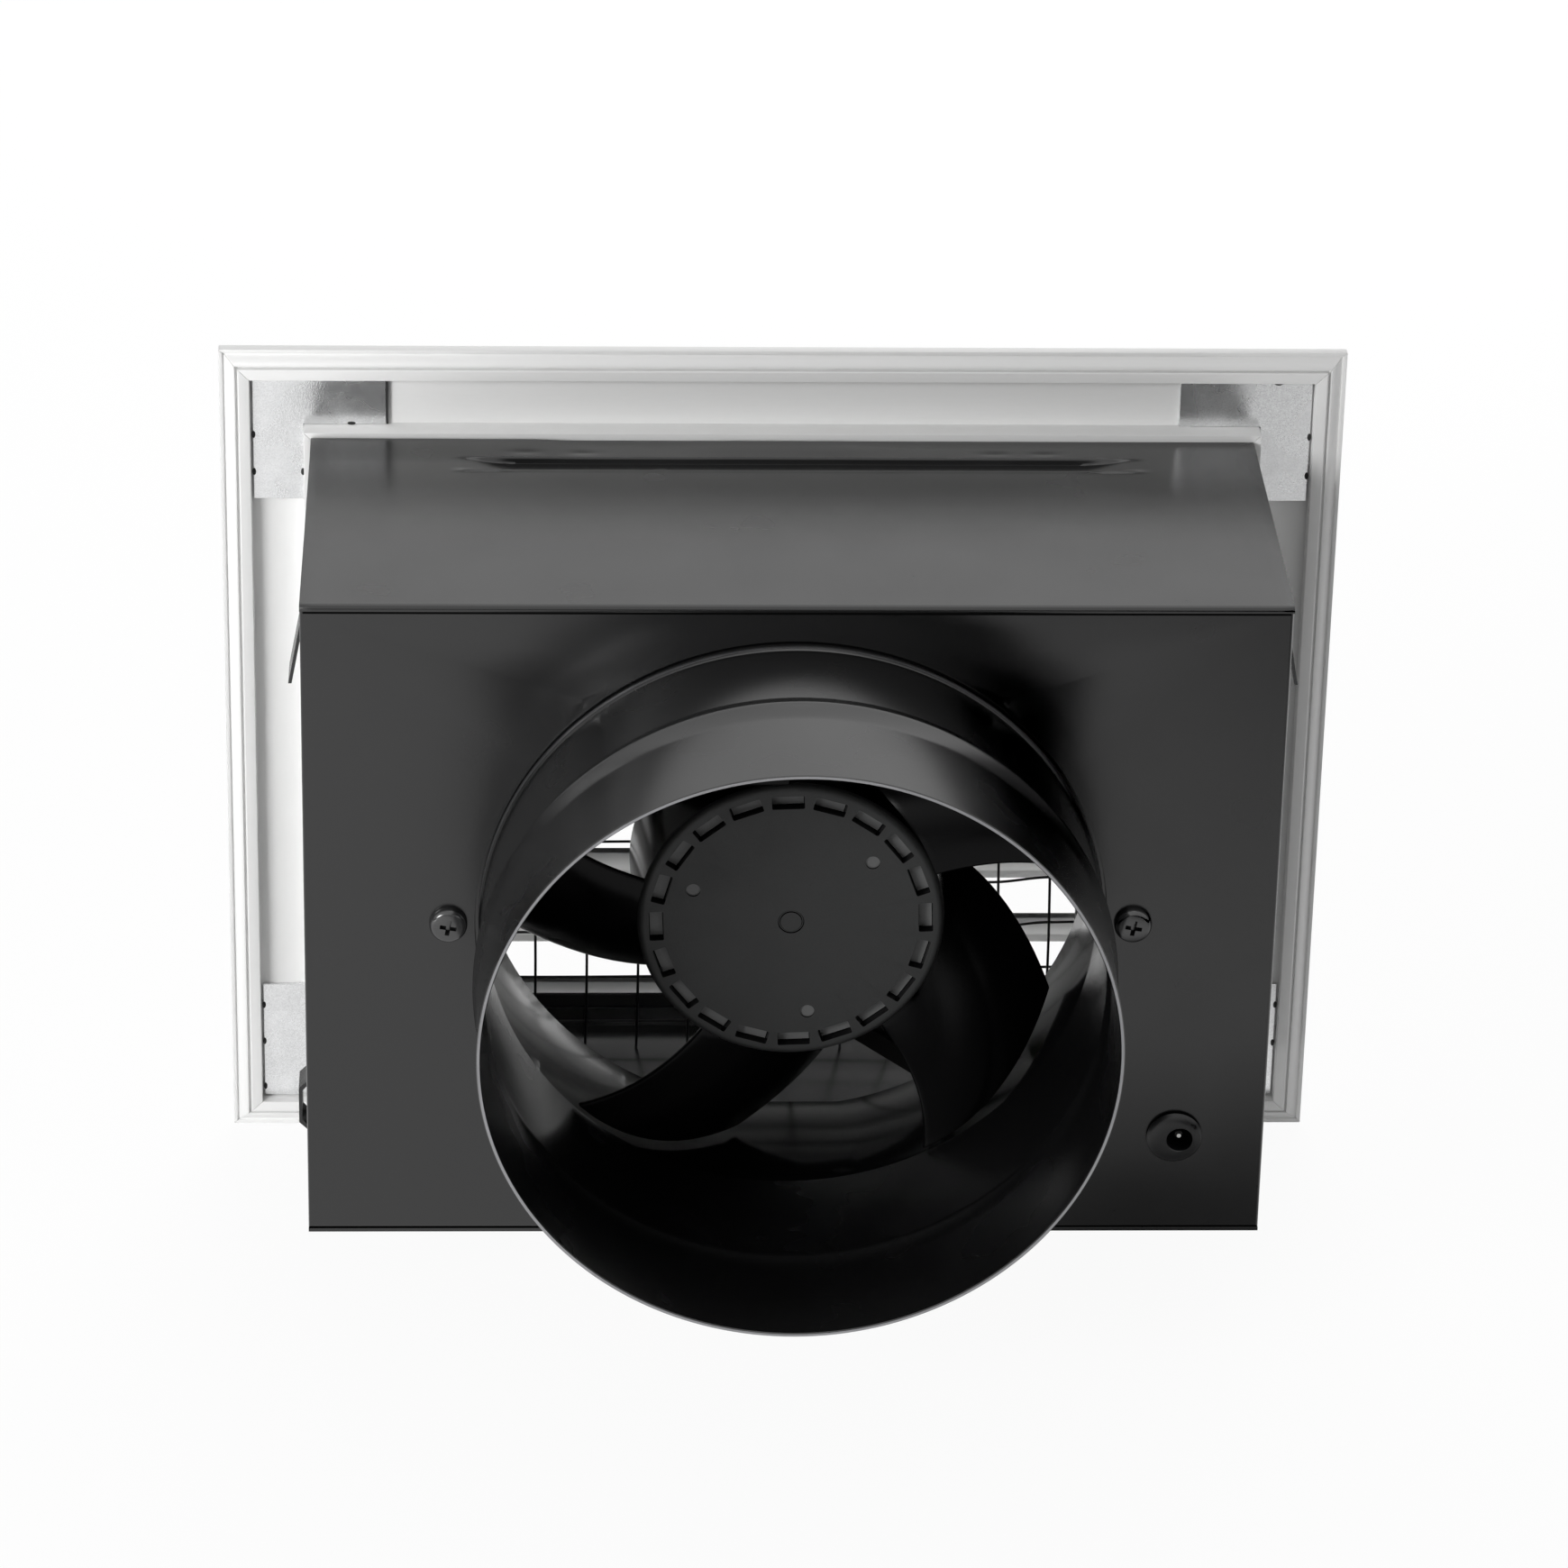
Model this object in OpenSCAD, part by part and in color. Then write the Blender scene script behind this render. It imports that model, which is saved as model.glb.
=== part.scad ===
// Subfloor ventilation fan. A sheet steel case with a round duct collar at the back holds
// a compact axial fan, and a white aluminium louvre frame closes its front on the wall.
// The origin is on the duct axis, in the plane where the frame meets the wall.
// X is the width, +Y points out through the grille and +Z is up.

/* [Wall frame] */
// Width of a frame rail, from its outer edge to the opening
rail_w = 22.2; // [21:0.2:26]
// Depth of the frame in front of the wall
frame_y = 5.2; // [4.8:0.1:7]
// Thickness of a rail's flat web
web_t = 1; // [0.8:0.1:1.4]
// Distance from a rail's outer edge to the inner side of its ridge
ridge_edge = 7.8; // [7.4:0.1:9]
// Width of the ridge face that touches the wall
ridge_w = 1.8; // [1.4:0.1:2.2]
// Distance from the wall to the back of the rail's outer lip
lip_y = 1.9; // [1.5:0.1:2.4]
// Thickness of the neck that the case plugs into
neck_t = 1.8; // [1.4:0.1:2.4]
// Reach of the neck behind the wall
neck_back = 2; // [1.5:0.1:4]
// Height of the opening's top over the duct axis
opening_top = 79; // [78:0.5:84]
// Depth of the opening's bottom under the duct axis
opening_bottom = 94.3; // [90:0.5:100]
// Leg length of the corner keys
key_leg = 32.5; // [24:0.5:40]
// Thickness of the corner keys
key_t = 1.2; // [0.8:0.1:1.8]
// Clearance between a corner key and the sides of its channel
key_gap = 0.1; // [0.05:0.05:0.3]

/* [Louvres] */
// Distance between two louvre blades
louvre_pitch = 18.5; // [15:0.1:20]
// Number of louvre blades
louvre_count = 10; // [7:1:10]
// Height of the lowest blade's rear edge, from the duct axis
louvre_low = -82.2; // [-84:0.2:-79]
// Distance from the wall to the blades' rear edges
louvre_back = 15; // [13:0.5:16]
// Distance from the wall to the blades' front edges
louvre_front = 4; // [3:0.2:4.6]
// Fall of a blade from its rear edge to its front edge
louvre_fall = 15.6; // [11:0.2:17]
// Thickness of a blade
louvre_t = 1.5; // [1:0.1:2]
// Height of the lip along a blade's front edge
louvre_lip = 2.8; // [1.6:0.1:3.4]
// Width of the stiles that hold the blades' ends
stile_w = 3.8; // [3:0.2:6]
// Distance of the two middle supports from the centre
mullion_x = 77; // [60:1:95]
// Width of a middle support
mullion_w = 4; // [3:0.5:8]
// Thickness of a middle support
mullion_t = 2.2; // [1.4:0.1:2.4]

/* [Insect screen] */
// Distance between two wires
mesh_pitch = 12.75; // [11:0.05:15]
// Side of a wire
wire_t = 0.8; // [0.8:0.1:1.4]
// Distance from the wall to the front of the screen's frame
screen_y = 26; // [25:0.5:32]
// Depth of the screen's frame
screen_t = 4; // [2:0.5:5]
// Width of the screen frame's strips
screen_w = 8; // [6:0.5:12]
// Number of upright wires
wires_up = 16; // [10:1:16]
// Number of level wires
wires_level = 11; // [8:1:11]

/* [Case] */
// Width of the case
case_w = 230; // [220:1:250]
// Distance from the wall to the outside of the rear plate
case_depth = 101.4; // [101:0.2:110]
// Width of the rear plate above the duct collar
plate_over = 10; // [7.3:0.1:14]
// Width of the rear plate below the duct collar
plate_under = 11.3; // [10:0.1:16]
// Thickness of the case's sheet
sheet_t = 1; // [0.8:0.1:1.2]
// Reach of the case into the frame's neck, in front of the wall
case_reach = 3; // [2:0.2:4]
// Width of the welding flanges inside the case
weld_w = 8; // [6:0.5:12]
// Height of the lip that the top panel folds over the rear plate
rear_lip = 1.5; // [1.3:0.1:3]
// Left end of the pressed groove in the top panel
groove_left = 67; // [50:1:80]
// Right end of the pressed groove in the top panel
groove_right = 75; // [50:1:85]
// Distance from the wall to the middle of the groove
groove_y = 17.5; // [14:0.5:24]
// Width of the groove
groove_w = 6.7; // [5:0.1:9]
// Depth of the groove
groove_depth = 2; // [1.6:0.1:3]
// Distance from the wall to the sill inside the case
sill_y = 17.6; // [17.6:0.1:18.4]
// Depth of the sill's top under the duct axis
sill_top = 66.7; // [60:0.5:72]
// Length of the sill's foot
sill_foot = 6; // [4:0.5:6.5]
// Height of the tray's lip against the sill
tray_lip = 5.1; // [3:0.1:6]
// Drop of the tray's side folds
tray_fold = 4; // [3:0.5:5]
// Distance that the side tabs stand out from the case
tab_out = 3.2; // [2:0.1:5]
// Thickness of the side tabs
tab_t = 0.8; // [0.6:0.1:1]

/* [Duct collar] */
// Outer radius of the collar where the duct slides on
collar_r = 74.1; // [71:0.1:78]
// Wall thickness of the collar
collar_t = 1; // [0.8:0.1:1.2]
// Length of the collar behind the rear plate
collar_len = 65.3; // [55:0.5:80]
// Amount that the collar is narrower beside the rear plate
collar_step = 0.7; // [0.4:0.1:1]
// Distance from the rear plate to the stop bead
bead_y = 29; // [24:0.5:36]
// Height of the stop bead
bead_h = 1.7; // [1:0.1:2.5]
// Length of the stop bead along the collar
bead_len = 9.3; // [6:0.1:12]
// Gap between the collar and its hole in the rear plate
collar_gap = 0.7; // [0.4:0.1:0.9]
// Width of the collar's turned flange
collar_flange = 4.1; // [2.7:0.1:4.3]

/* [Fan] */
// Reach of the fan's two ears past the duct collar
fan_ear = 11.9; // [11.4:0.1:15]
// Reach of the fan's two flats past the duct collar
fan_flat = 0.9; // [0.5:0.1:3]
// Depth of the fan
fan_depth = 38; // [37:1:50]
// Distance from each fan screw to the end of its ear
screw_in = 5; // [4.6:0.1:5.2]
// Amount that the air passage is narrower than the duct collar
duct_step = 0.1; // [-0.4:0.1:1]
// Wall thickness round the air passage
fan_wall = 2.4; // [1.6:0.1:2.4]
// Thickness of the two mounting flanges
flange_t = 4; // [3:0.5:6]
// Width of the three struts
strut_w = 4.6; // [3:0.2:8]
// Thickness of the three struts
strut_t = 4; // [2.5:0.1:4.4]
// Radius of the motor base
base_r = 36; // [35.6:0.1:38]
// Height of the motor base's rim
base_rim = 5.4; // [4.8:0.1:5.4]
// Thickness of the motor base's floor and rim
base_t = 1.5; // [1:0.1:2]

/* [Impeller] */
// Radius of the hub
hub_r = 36.4; // [36.2:0.1:40]
// Wall thickness of the hub
hub_t = 2; // [1.6:0.1:2]
// Radius of the hub's rounded rim
hub_round = 1.8; // [1:0.1:1.9]
// Height of the hub's face over the fan's rear face
hub_proud = 1.3; // [0:0.1:2]
// Amount that the hub is wider at its far end
hub_draft = 1.4; // [0.2:0.1:1.8]
// Gap between the hub and the motor base
hub_gap = 1.2; // [0.8:0.1:2]
// Gap between the blade tips and the air passage
tip_gap = 2.4; // [2.2:0.1:6]
// Number of blades
blade_count = 5; // [3:1:6]
// Angle of the first blade's front tip
blade_angle = -63; // [-90:1:-30]
// Half thickness added at the middle of a blade
blade_belly = 0.7; // [0.4:0.1:1]
// Half thickness of a blade's edges
blade_edge = 0.45; // [0.4:0.05:0.6]
// Number of pockets round the hub's face
pocket_count = 20; // [12:1:22]
// Length of a pocket
pocket_l = 7.7; // [4:0.1:8.2]
// Width of a pocket
pocket_w = 3.4; // [2:0.1:3.6]

/* [Motor] */
// Radius of the shaft
shaft_r = 2.5; // [2:0.1:3]
// Clearance between the shaft and the bearings
run_gap = 0.03; // [0.02:0.01:0.08]
// Outer radius of the bearings
bearing_r = 7; // [6:0.1:7.4]
// Width of the bearings
bearing_w = 5; // [4:0.1:5.5]
// Outer radius of the bearing tube
tube_r = 9; // [8.4:0.1:10]
// Wall thickness of the rotor cup
cup_t = 1.5; // [1:0.1:2]
// Thickness of the magnet ring
magnet_t = 3.5; // [3:0.1:4]
// Gap between the magnet ring and the stator
air_gap = 0.6; // [0.4:0.1:1]
// Height of the stator core
core_len = 14; // [10:0.5:15]
// Number of stator teeth
teeth = 9; // [6:3:9]
// Thickness of the circuit board
board_t = 1.6; // [1:0.1:2]
// Radius of the circuit board
board_r = 31.5; // [26:0.5:31.5]

/* [Power inlet] */
// Distance of the inlet from the centre
jack_x = 94.6; // [92:0.2:97]
// Depth of the inlet under the duct axis
jack_z = 58.5; // [57:0.5:68]
// Radius of the inlet's opening
jack_bore = 3.1; // [2.7:0.1:3.3]
// Radius of the inlet's threaded barrel
jack_r = 5; // [4.4:0.1:5.6]
// Radius of the inlet's cap
cap_r = 6.7; // [6.6:0.1:8]
// Amount that the cap sits to the left of the opening
cap_shift = 1.2; // [0:0.1:1.2]
// Thickness of the inlet's cap
cap_t = 2.2; // [1.4:0.1:3]
// Radius of the inlet's centre pin
pin_r = 1.05; // [0.8:0.05:1.3]
// Diameter of the motor lead
lead_d = 3.2; // [2.4:0.1:3.4]

/* [Hidden] */
$fn = 96;

steel_black = "#2f3133";
plastic_black = "#1b1c1e";
frame_white = "#e8e8e6";
zinc = "#c9cccd";
bare_steel = "#b4b7ba";
copper = "#a9612b";

// Overshoot of a cut past the face that it leaves
over = 1;

// Wall frame, measured from the duct axis
flange_w = case_w + 2 * rail_w;
flange_top = opening_top + rail_w;
flange_bottom = -opening_bottom - rail_w;
flange_mid = (flange_top + flange_bottom) / 2;
flange_h = flange_top - flange_bottom;
floor_y = frame_y - web_t;
lip_w = 1.2;
front_round = 0.6;
groove_in = 0.9;
mitre_gap = 0.05;
// Gap between the case's welding flanges and the panels
weld_gap = 0.05;

// Case
case_top = collar_r + plate_over;
case_bottom = collar_r + plate_under;
inner_w = case_w - 2 * sheet_t;
fan_front = case_depth - sheet_t - collar_t;
fan_back = fan_front - fan_depth;
fan_w = 2 * (collar_r + fan_ear);
fan_h = 2 * (collar_r + fan_flat);
duct_r = collar_r - duct_step;
tip_r = duct_r - tip_gap;
screw_r = 2;
screw_hole_r = 2.2;
barb_y = case_depth - 16.4;
barb_w = 12;
barb_top = 75;
barb_low = 57;
bridge_y = case_depth - 41.4;
bridge_w = 10;
bridge_top = -64;
bridge_low = -80;
slit = 0.8;

// Louvre core, which fits between the case's two panels
core_gap = 0.2;
core_top = top_z(case_reach) - sheet_t - core_gap;
core_bottom = bottom_z(-louvre_back) + sheet_t + core_gap;
core_w = inner_w - 2 * stile_w;

// Screen frame
screen_back = screen_y + screen_t;
screen_top = top_z(-screen_y) - sheet_t;
tray_top = -fan_h / 2 - weld_gap;
screen_bottom = tray_top + weld_gap;
wire_left = -60.9;
wire_level = -28.2;

// Motor, measured along the axis from the fan's far face
board_seat = 5.6;
core_seat = 12.6;
tube_top = fan_back + core_seat + core_len;
bearing_seat = 4.5;
clip_t = 0.8;
clip_gap = 0.4;
washer_t = 0.8;
cup_r = hub_r - hub_t;
cup_top = fan_front - hub_t;
hub_top = fan_front + hub_proud;
hub_back = fan_back + base_rim + hub_gap;
magnet_r = cup_r - cup_t;
core_r = magnet_r - magnet_t - air_gap;
boss_r = 5;
boss_gap = 1.5;
strut_angles = [-34.5, 85.5, 205.5];
strut_off = base_r - strut_w / 2 - 2.7;

// Power inlet's barrel
jack_depth = 13.4;
jack_back = case_depth - jack_depth;
tab_l = 3.5;

// Motor lead, from the inlet's terminals past the fan's far flange and along a strut,
// and through a hole in the motor base to the circuit board
lead_way = 1.6;
lead_in = base_r - 8.3;
lead_route = [
    [jack_x, tab_l - jack_back, -jack_z], [jack_x, 9 - jack_back, -jack_z],
    [jack_x - 0.6, 16 - jack_back, -jack_z], [jack_x - 4.6, -3.6 - fan_back, 0.5 - jack_z],
    lead_spot(duct_r + 26.6, 34.9, 1.4), lead_spot(duct_r + 19.7, 37.8, 2.2),
    lead_spot(duct_r + 13.5, 41, 2.2), lead_spot(duct_r + 7.7, 44.8, 2.2),
    lead_spot(duct_r + 2.2, 49, 2.2), lead_spot(duct_r - 0.9, 54.5, 2.2),
    lead_spot(duct_r - 3.2, 59.5, 2.2), lead_spot(duct_r - 7.6, 62, 2.2),
    lead_spot(base_r + 23.4, 62.3, 2.2), lead_spot(base_r + 14.2, 62.7, 2.2),
    lead_spot(base_r + 3.7, 63, 2.6), lead_spot(base_r - 1.9, 63, 3),
    lead_spot(base_r - 5, 63, 2.2), lead_spot(base_r - 7.4, 63, -0.2),
    lead_spot(lead_in, 63, -3.4), lead_spot(lead_in, 63, -board_seat)
];
lead_steps = 3;
lead_sides = 8;
lead_up = [0.3, 0.2, 1];

// Point of the lead at a radius and an angle below level, in front of the fan's far face
function lead_spot(radius, turn, front) =
    [radius * cos(turn), front - fan_back, -radius * sin(turn)];

// Height of the top panel's outer face, and of the bottom panel's, at a place along Y
function top_z(y) = opening_top
    + (case_top - opening_top) * (-y - neck_back) / (case_depth - neck_back);
function bottom_z(y) = -opening_bottom
    + (opening_bottom - case_bottom) * (case_reach - y) / (case_depth + case_reach);

// Extrudes a Y-Z outline across the width, centred
module across(width) {
    rotate([90, 0, 90]) linear_extrude(width, center = true) children();
}

// Extrudes an X-Z outline along Y, from y0 to y1
module along(y0, y1) {
    translate([0, y1, 0]) rotate([90, 0, 0]) linear_extrude(y1 - y0) children();
}

// Turns a piece made along its own Z so that its top points back into the duct
module on_axis() {
    rotate([90, 0, 0]) children();
}

module ring(outer, inner, h0, h1) {
    translate([0, 0, h0]) difference() {
        cylinder(r = outer, h = h1 - h0);
        translate([0, 0, -over]) cylinder(r = inner, h = h1 - h0 + 2 * over);
    }
}

// Copies a piece to both screws of the fan
module at_screws() {
    for (side = [-1, 1]) translate([side * (fan_w / 2 - screw_in), 0, 0]) children();
}

// Wall frame

// Section of the aluminium extrusion: outer lip, ridge on the wall, channel and neck
module rail_section() {
    ridge_out = ridge_edge - ridge_w;
    neck_in = rail_w - neck_t;
    polygon([
        [0, lip_y], [lip_w, lip_y], [lip_w, lip_y + 1.4], [2, lip_y + 0.9],
        [3.2, lip_y - 0.5], [ridge_out - groove_in - 0.5, 0.4],
        [ridge_out - groove_in, 0.2], [ridge_out - 0.7, 0.6], [ridge_out - 0.2, 0.6],
        [ridge_out, 0], [ridge_edge, 0], [ridge_edge, floor_y], [neck_in, floor_y],
        [neck_in, -neck_back], [rail_w, -neck_back], [rail_w, frame_y],
        [front_round, frame_y], [0, frame_y - front_round]
    ]);
}

// One rail along Z with its outer edge at x = 0, mitred at both ends
module rail(length) {
    half = length / 2 - mitre_gap;
    intersection() {
        linear_extrude(length, center = true) rail_section();
        along(-neck_back - over, frame_y + over) polygon([
            [0, -half], [rail_w, rail_w - half], [rail_w, half - rail_w], [0, half]
        ]);
    }
}

module frame_rail_top() {
    color(frame_white) translate([0, 0, flange_top]) rotate([0, 90, 0]) rail(flange_w);
}

module frame_rail_bottom() {
    color(frame_white) translate([0, 0, flange_bottom]) rotate([0, -90, 0]) rail(flange_w);
}

module frame_rail_left() {
    color(frame_white) translate([-flange_w / 2, 0, flange_mid]) rail(flange_h);
}

module frame_rail_right() {
    color(frame_white) translate([flange_w / 2, 0, flange_mid]) mirror([1, 0, 0])
        rail(flange_h);
}

// Zinc-plated angle plates that lie in the channel and join the rails
module corner_keys() {
    inset = ridge_edge + key_gap;
    width = rail_w - neck_t - ridge_edge - 2 * key_gap;
    color(zinc) translate([0, 0, flange_mid])
        for (sx = [-1, 1], sz = [-1, 1])
            along(floor_y - key_t, floor_y)
                translate([sx * (flange_w / 2 - inset), sz * (flange_h / 2 - inset)])
                    scale([-sx, -sz]) {
                        square([key_leg, width]);
                        square([width, key_leg]);
                    }
}

// Louvres

module louvre_outline() {
    slope = louvre_fall / (louvre_back + louvre_front);
    lip_back = louvre_front - 1.2;
    polygon([
        [-louvre_back, 0], [louvre_front, -louvre_fall],
        [louvre_front, -louvre_fall - louvre_lip], [lip_back, -louvre_fall - louvre_lip],
        [lip_back, -slope * (lip_back + louvre_back) - louvre_t], [-louvre_back, -louvre_t]
    ]);
}

module louvre_blades() {
    color(frame_white) intersection() {
        for (k = [0:louvre_count - 1])
            translate([0, 0, louvre_low + k * louvre_pitch]) across(core_w) louvre_outline();
        translate([-core_w / 2, -louvre_back, core_bottom])
            cube([core_w, louvre_back + louvre_front, core_top - core_bottom]);
    }
}

module louvre_stiles() {
    color(frame_white) for (side = [0, 1]) mirror([side, 0, 0])
        translate([core_w / 2, -louvre_back, core_bottom])
            cube([stile_w, louvre_back + louvre_front, core_top - core_bottom]);
}

// Two uprights behind the blades, which end under the top panel's groove
module louvre_supports() {
    top = min(core_top, top_z(-groove_y) - groove_depth - sheet_t - core_gap);
    color(frame_white) for (side = [-1, 1])
        translate([side * mullion_x - mullion_w / 2, -louvre_back - mullion_t, core_bottom])
            cube([mullion_w, mullion_t, top - core_bottom]);
}

// Insect screen

// Strips at both sides and the top, standing on the tray
module screen_frame() {
    height = screen_top - screen_bottom;
    color(steel_black) along(-screen_back, -screen_y) {
        for (side = [0, 1]) mirror([side, 0])
            translate([inner_w / 2 - screen_w, screen_bottom]) square([screen_w, height]);
        translate([screen_w + mitre_gap - inner_w / 2, screen_top - screen_w])
            square([inner_w - 2 * screen_w - 2 * mitre_gap, screen_w]);
    }
}

module mesh_screen() {
    reach = screen_w / 2;
    first_x = wire_left - 3 * mesh_pitch;
    first_z = wire_level - 3 * mesh_pitch;
    color(steel_black) {
        for (k = [0:wires_level - 1])
            translate([reach - inner_w / 2, -screen_back - wire_t, first_z + k * mesh_pitch])
                cube([inner_w - 2 * reach, wire_t, wire_t]);
        for (k = [0:wires_up - 1])
            translate([first_x + k * mesh_pitch, -screen_back - 2 * wire_t, screen_bottom])
                cube([wire_t, wire_t, screen_top - reach - screen_bottom]);
    }
}

// Case

// Section of a sheet that follows the top panel, lowered by an amount
module top_sheet(lower, y0, y1) {
    polygon([
        [y0, top_z(y0) - lower], [y1, top_z(y1) - lower],
        [y1, top_z(y1) - lower - sheet_t], [y0, top_z(y0) - lower - sheet_t]
    ]);
}

// Section of a sheet that follows the bottom panel, raised by an amount
module bottom_sheet(raise, y0, y1) {
    polygon([
        [y0, bottom_z(y0) + raise], [y1, bottom_z(y1) + raise],
        [y1, bottom_z(y1) + raise + sheet_t], [y0, bottom_z(y0) + raise + sheet_t]
    ]);
}

// Spring barb cut free from the side wall, held at its top
module side_barb() {
    x = case_w / 2;
    along(-barb_y - barb_w / 2 + slit, -barb_y + barb_w / 2 - slit) polygon([
        [x - tab_t, barb_top], [x - tab_t, barb_top + over], [x, barb_top + over],
        [x, barb_top], [x + tab_out, barb_low + slit],
        [x + tab_out - tab_t, barb_low + slit]
    ]);
}

// Bridge pressed out of the side wall, held at both ends
module side_bridge() {
    x = case_w / 2;
    bend = tab_out;
    along(-bridge_y - bridge_w / 2 + slit, -bridge_y + bridge_w / 2 - slit) polygon([
        [x - tab_t, bridge_low], [x - tab_t, bridge_low - over], [x, bridge_low - over],
        [x, bridge_low], [x + tab_out, bridge_low + bend], [x + tab_out, bridge_top - bend],
        [x, bridge_top], [x, bridge_top + over], [x - tab_t, bridge_top + over],
        [x - tab_t, bridge_top],
        [x + tab_out - tab_t, bridge_top - bend - tab_t],
        [x + tab_out - tab_t, bridge_low + bend + tab_t]
    ]);
}

module wall_window(y, width, low, top) {
    translate([inner_w / 2 - over, -y - width / 2, low])
        cube([sheet_t + 2 * over, width, top - low]);
}

// Rear plate and both side walls, bent from one sheet, with inner welding flanges
module rear_case() {
    y0 = -case_depth;
    flange_y0 = y0 + sheet_t / 2;
    flange_y1 = -screen_back - 2 * wire_t - over;
    color(steel_black) {
        difference() {
            across(case_w) polygon([
                [y0, bottom_z(y0) + sheet_t], [y0, top_z(y0) - sheet_t],
                [case_reach, top_z(case_reach) - sheet_t],
                [case_reach, bottom_z(case_reach) + sheet_t]
            ]);
            translate([-inner_w / 2, y0 + sheet_t, -case_w])
                cube([inner_w, 2 * case_depth, 2 * case_w]);
            on_axis() cylinder(r = collar_r + collar_gap, h = case_depth + over);
            at_screws() on_axis() cylinder(r = screw_hole_r, h = case_depth + over);
            translate([jack_x, 0, -jack_z]) on_axis()
                cylinder(r = jack_r, h = case_depth + over);
            for (side = [0, 1]) mirror([side, 0, 0]) {
                wall_window(barb_y, barb_w, barb_low, barb_top);
                wall_window(bridge_y, bridge_w, bridge_low, bridge_top);
            }
        }
        for (side = [0, 1]) mirror([side, 0, 0]) {
            side_barb();
            side_bridge();
            translate([(inner_w - weld_w) / 2, 0, 0]) across(weld_w + sheet_t) {
                top_sheet(sheet_t + weld_gap, flange_y0, flange_y1);
                bottom_sheet(sheet_t + weld_gap, flange_y0, flange_y1);
            }
        }
    }
}

// Outline of the top panel's groove, grown all round by an amount
module groove_outline(grow) {
    half = groove_w / 2 + grow;
    left = -groove_left - grow + half;
    right = groove_right + grow - half;
    translate([left, -half]) square([right - left, 2 * half]);
    for (x = [left, right]) translate([x, 0]) circle(r = half);
}

module top_panel() {
    bed = top_z(-groove_y) - groove_depth;
    color(steel_black) {
        difference() {
            across(case_w) top_sheet(0, -case_depth, case_reach);
            translate([0, -groove_y, bed]) linear_extrude(2 * groove_depth)
                groove_outline(0);
        }
        difference() {
            translate([0, -groove_y, bed - sheet_t])
                linear_extrude(groove_depth + sheet_t / 2) groove_outline(sheet_t);
            translate([0, -groove_y, bed]) linear_extrude(2 * groove_depth)
                groove_outline(0);
        }
        translate([-case_w / 2, -case_depth - sheet_t, case_top - rear_lip])
            cube([case_w, sheet_t, rear_lip]);
    }
}

module bottom_panel() {
    color(steel_black) across(case_w) bottom_sheet(0, -case_depth, case_reach);
}

// Upright sill, standing on the bottom panel in front of the screen
module inner_sill() {
    back = -sill_y - sheet_t;
    color(steel_black) across(inner_w) {
        bottom_sheet(sheet_t, back - sill_foot, -sill_y);
        polygon([
            [back, bottom_z(back) + 1.5 * sheet_t], [-sill_y, bottom_z(-sill_y) + 1.5 * sheet_t],
            [-sill_y, -sill_top], [back, -sill_top]
        ]);
    }
}

// Level tray from under the fan to the sill, with a lip against it and folds at its sides
module air_tray() {
    y0 = 0.2 - fan_front;
    y1 = -sill_y - sheet_t - weld_gap;
    width = inner_w - 2 * weld_gap;
    low = tray_top - sheet_t;
    color(steel_black) {
        translate([-width / 2, y0, low]) cube([width, y1 - y0, sheet_t]);
        translate([-width / 2, y1 - sheet_t, low]) cube([width, sheet_t, tray_lip + sheet_t]);
        for (side = [0, 1]) mirror([side, 0, 0])
            translate([width / 2 - sheet_t, y0, low - tray_fold])
                cube([sheet_t, y1 - y0, tray_fold + sheet_t]);
    }
}

// Spun collar with a turned flange inside the rear plate and a stop bead for the duct
module duct_collar() {
    root_r = collar_r - collar_step;
    flange_r = collar_r + collar_flange;
    bead_0 = case_depth + bead_y;
    bead_1 = bead_0 + bead_len;
    crest = bead_0 + 0.28 * bead_len;
    rim = case_depth + collar_len;
    outer = [
        [root_r, fan_front + collar_t], [root_r, bead_0], [root_r + bead_h, crest],
        [collar_r, bead_1], [collar_r, rim]
    ];
    inner = [
        [collar_r - collar_t, rim], [collar_r - collar_t, bead_1],
        [root_r + bead_h - collar_t, crest], [root_r - collar_t, bead_0],
        [root_r - collar_t, fan_front]
    ];
    color(steel_black) on_axis() rotate_extrude() polygon(concat(
        outer, inner, [[flange_r, fan_front], [flange_r, fan_front + collar_t]]
    ));
}

// Fan housing and its fasteners

// Round outline with the two flats that a compact axial fan has
module flat_circle(radius, flat) {
    intersection() {
        circle(r = radius);
        square([3 * radius, 2 * flat], center = true);
    }
}

module motor_base() {
    floor_top = fan_back + base_t;
    difference() {
        translate([0, 0, fan_back]) cylinder(r = base_r, h = base_rim);
        translate([0, 0, floor_top]) cylinder(r = base_r - base_t, h = base_rim);
        lead_end = lead_route[len(lead_route) - 1];
        translate([lead_end[0], lead_end[2], fan_back - over])
            cylinder(r = lead_d / 2 + lead_way, h = base_t + 2 * over);
    }
    difference() {
        union() {
            translate([0, 0, fan_back]) cylinder(r = tube_r + 3, h = board_seat);
            translate([0, 0, fan_back]) cylinder(r = tube_r + 1.5, h = core_seat);
            translate([0, 0, fan_back]) cylinder(r = tube_r, h = core_seat + core_len);
        }
        // Rear bearing's seat, the waist between the bearings, and the front one's seat
        translate([0, 0, floor_top])
            cylinder(r = bearing_r, h = bearing_seat - base_t + bearing_w);
        translate([0, 0, floor_top]) cylinder(r = bearing_r - 1.8, h = core_seat + core_len);
        translate([0, 0, tube_top - bearing_w - washer_t])
            cylinder(r = bearing_r, h = bearing_w + washer_t + over);
    }
}

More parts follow.
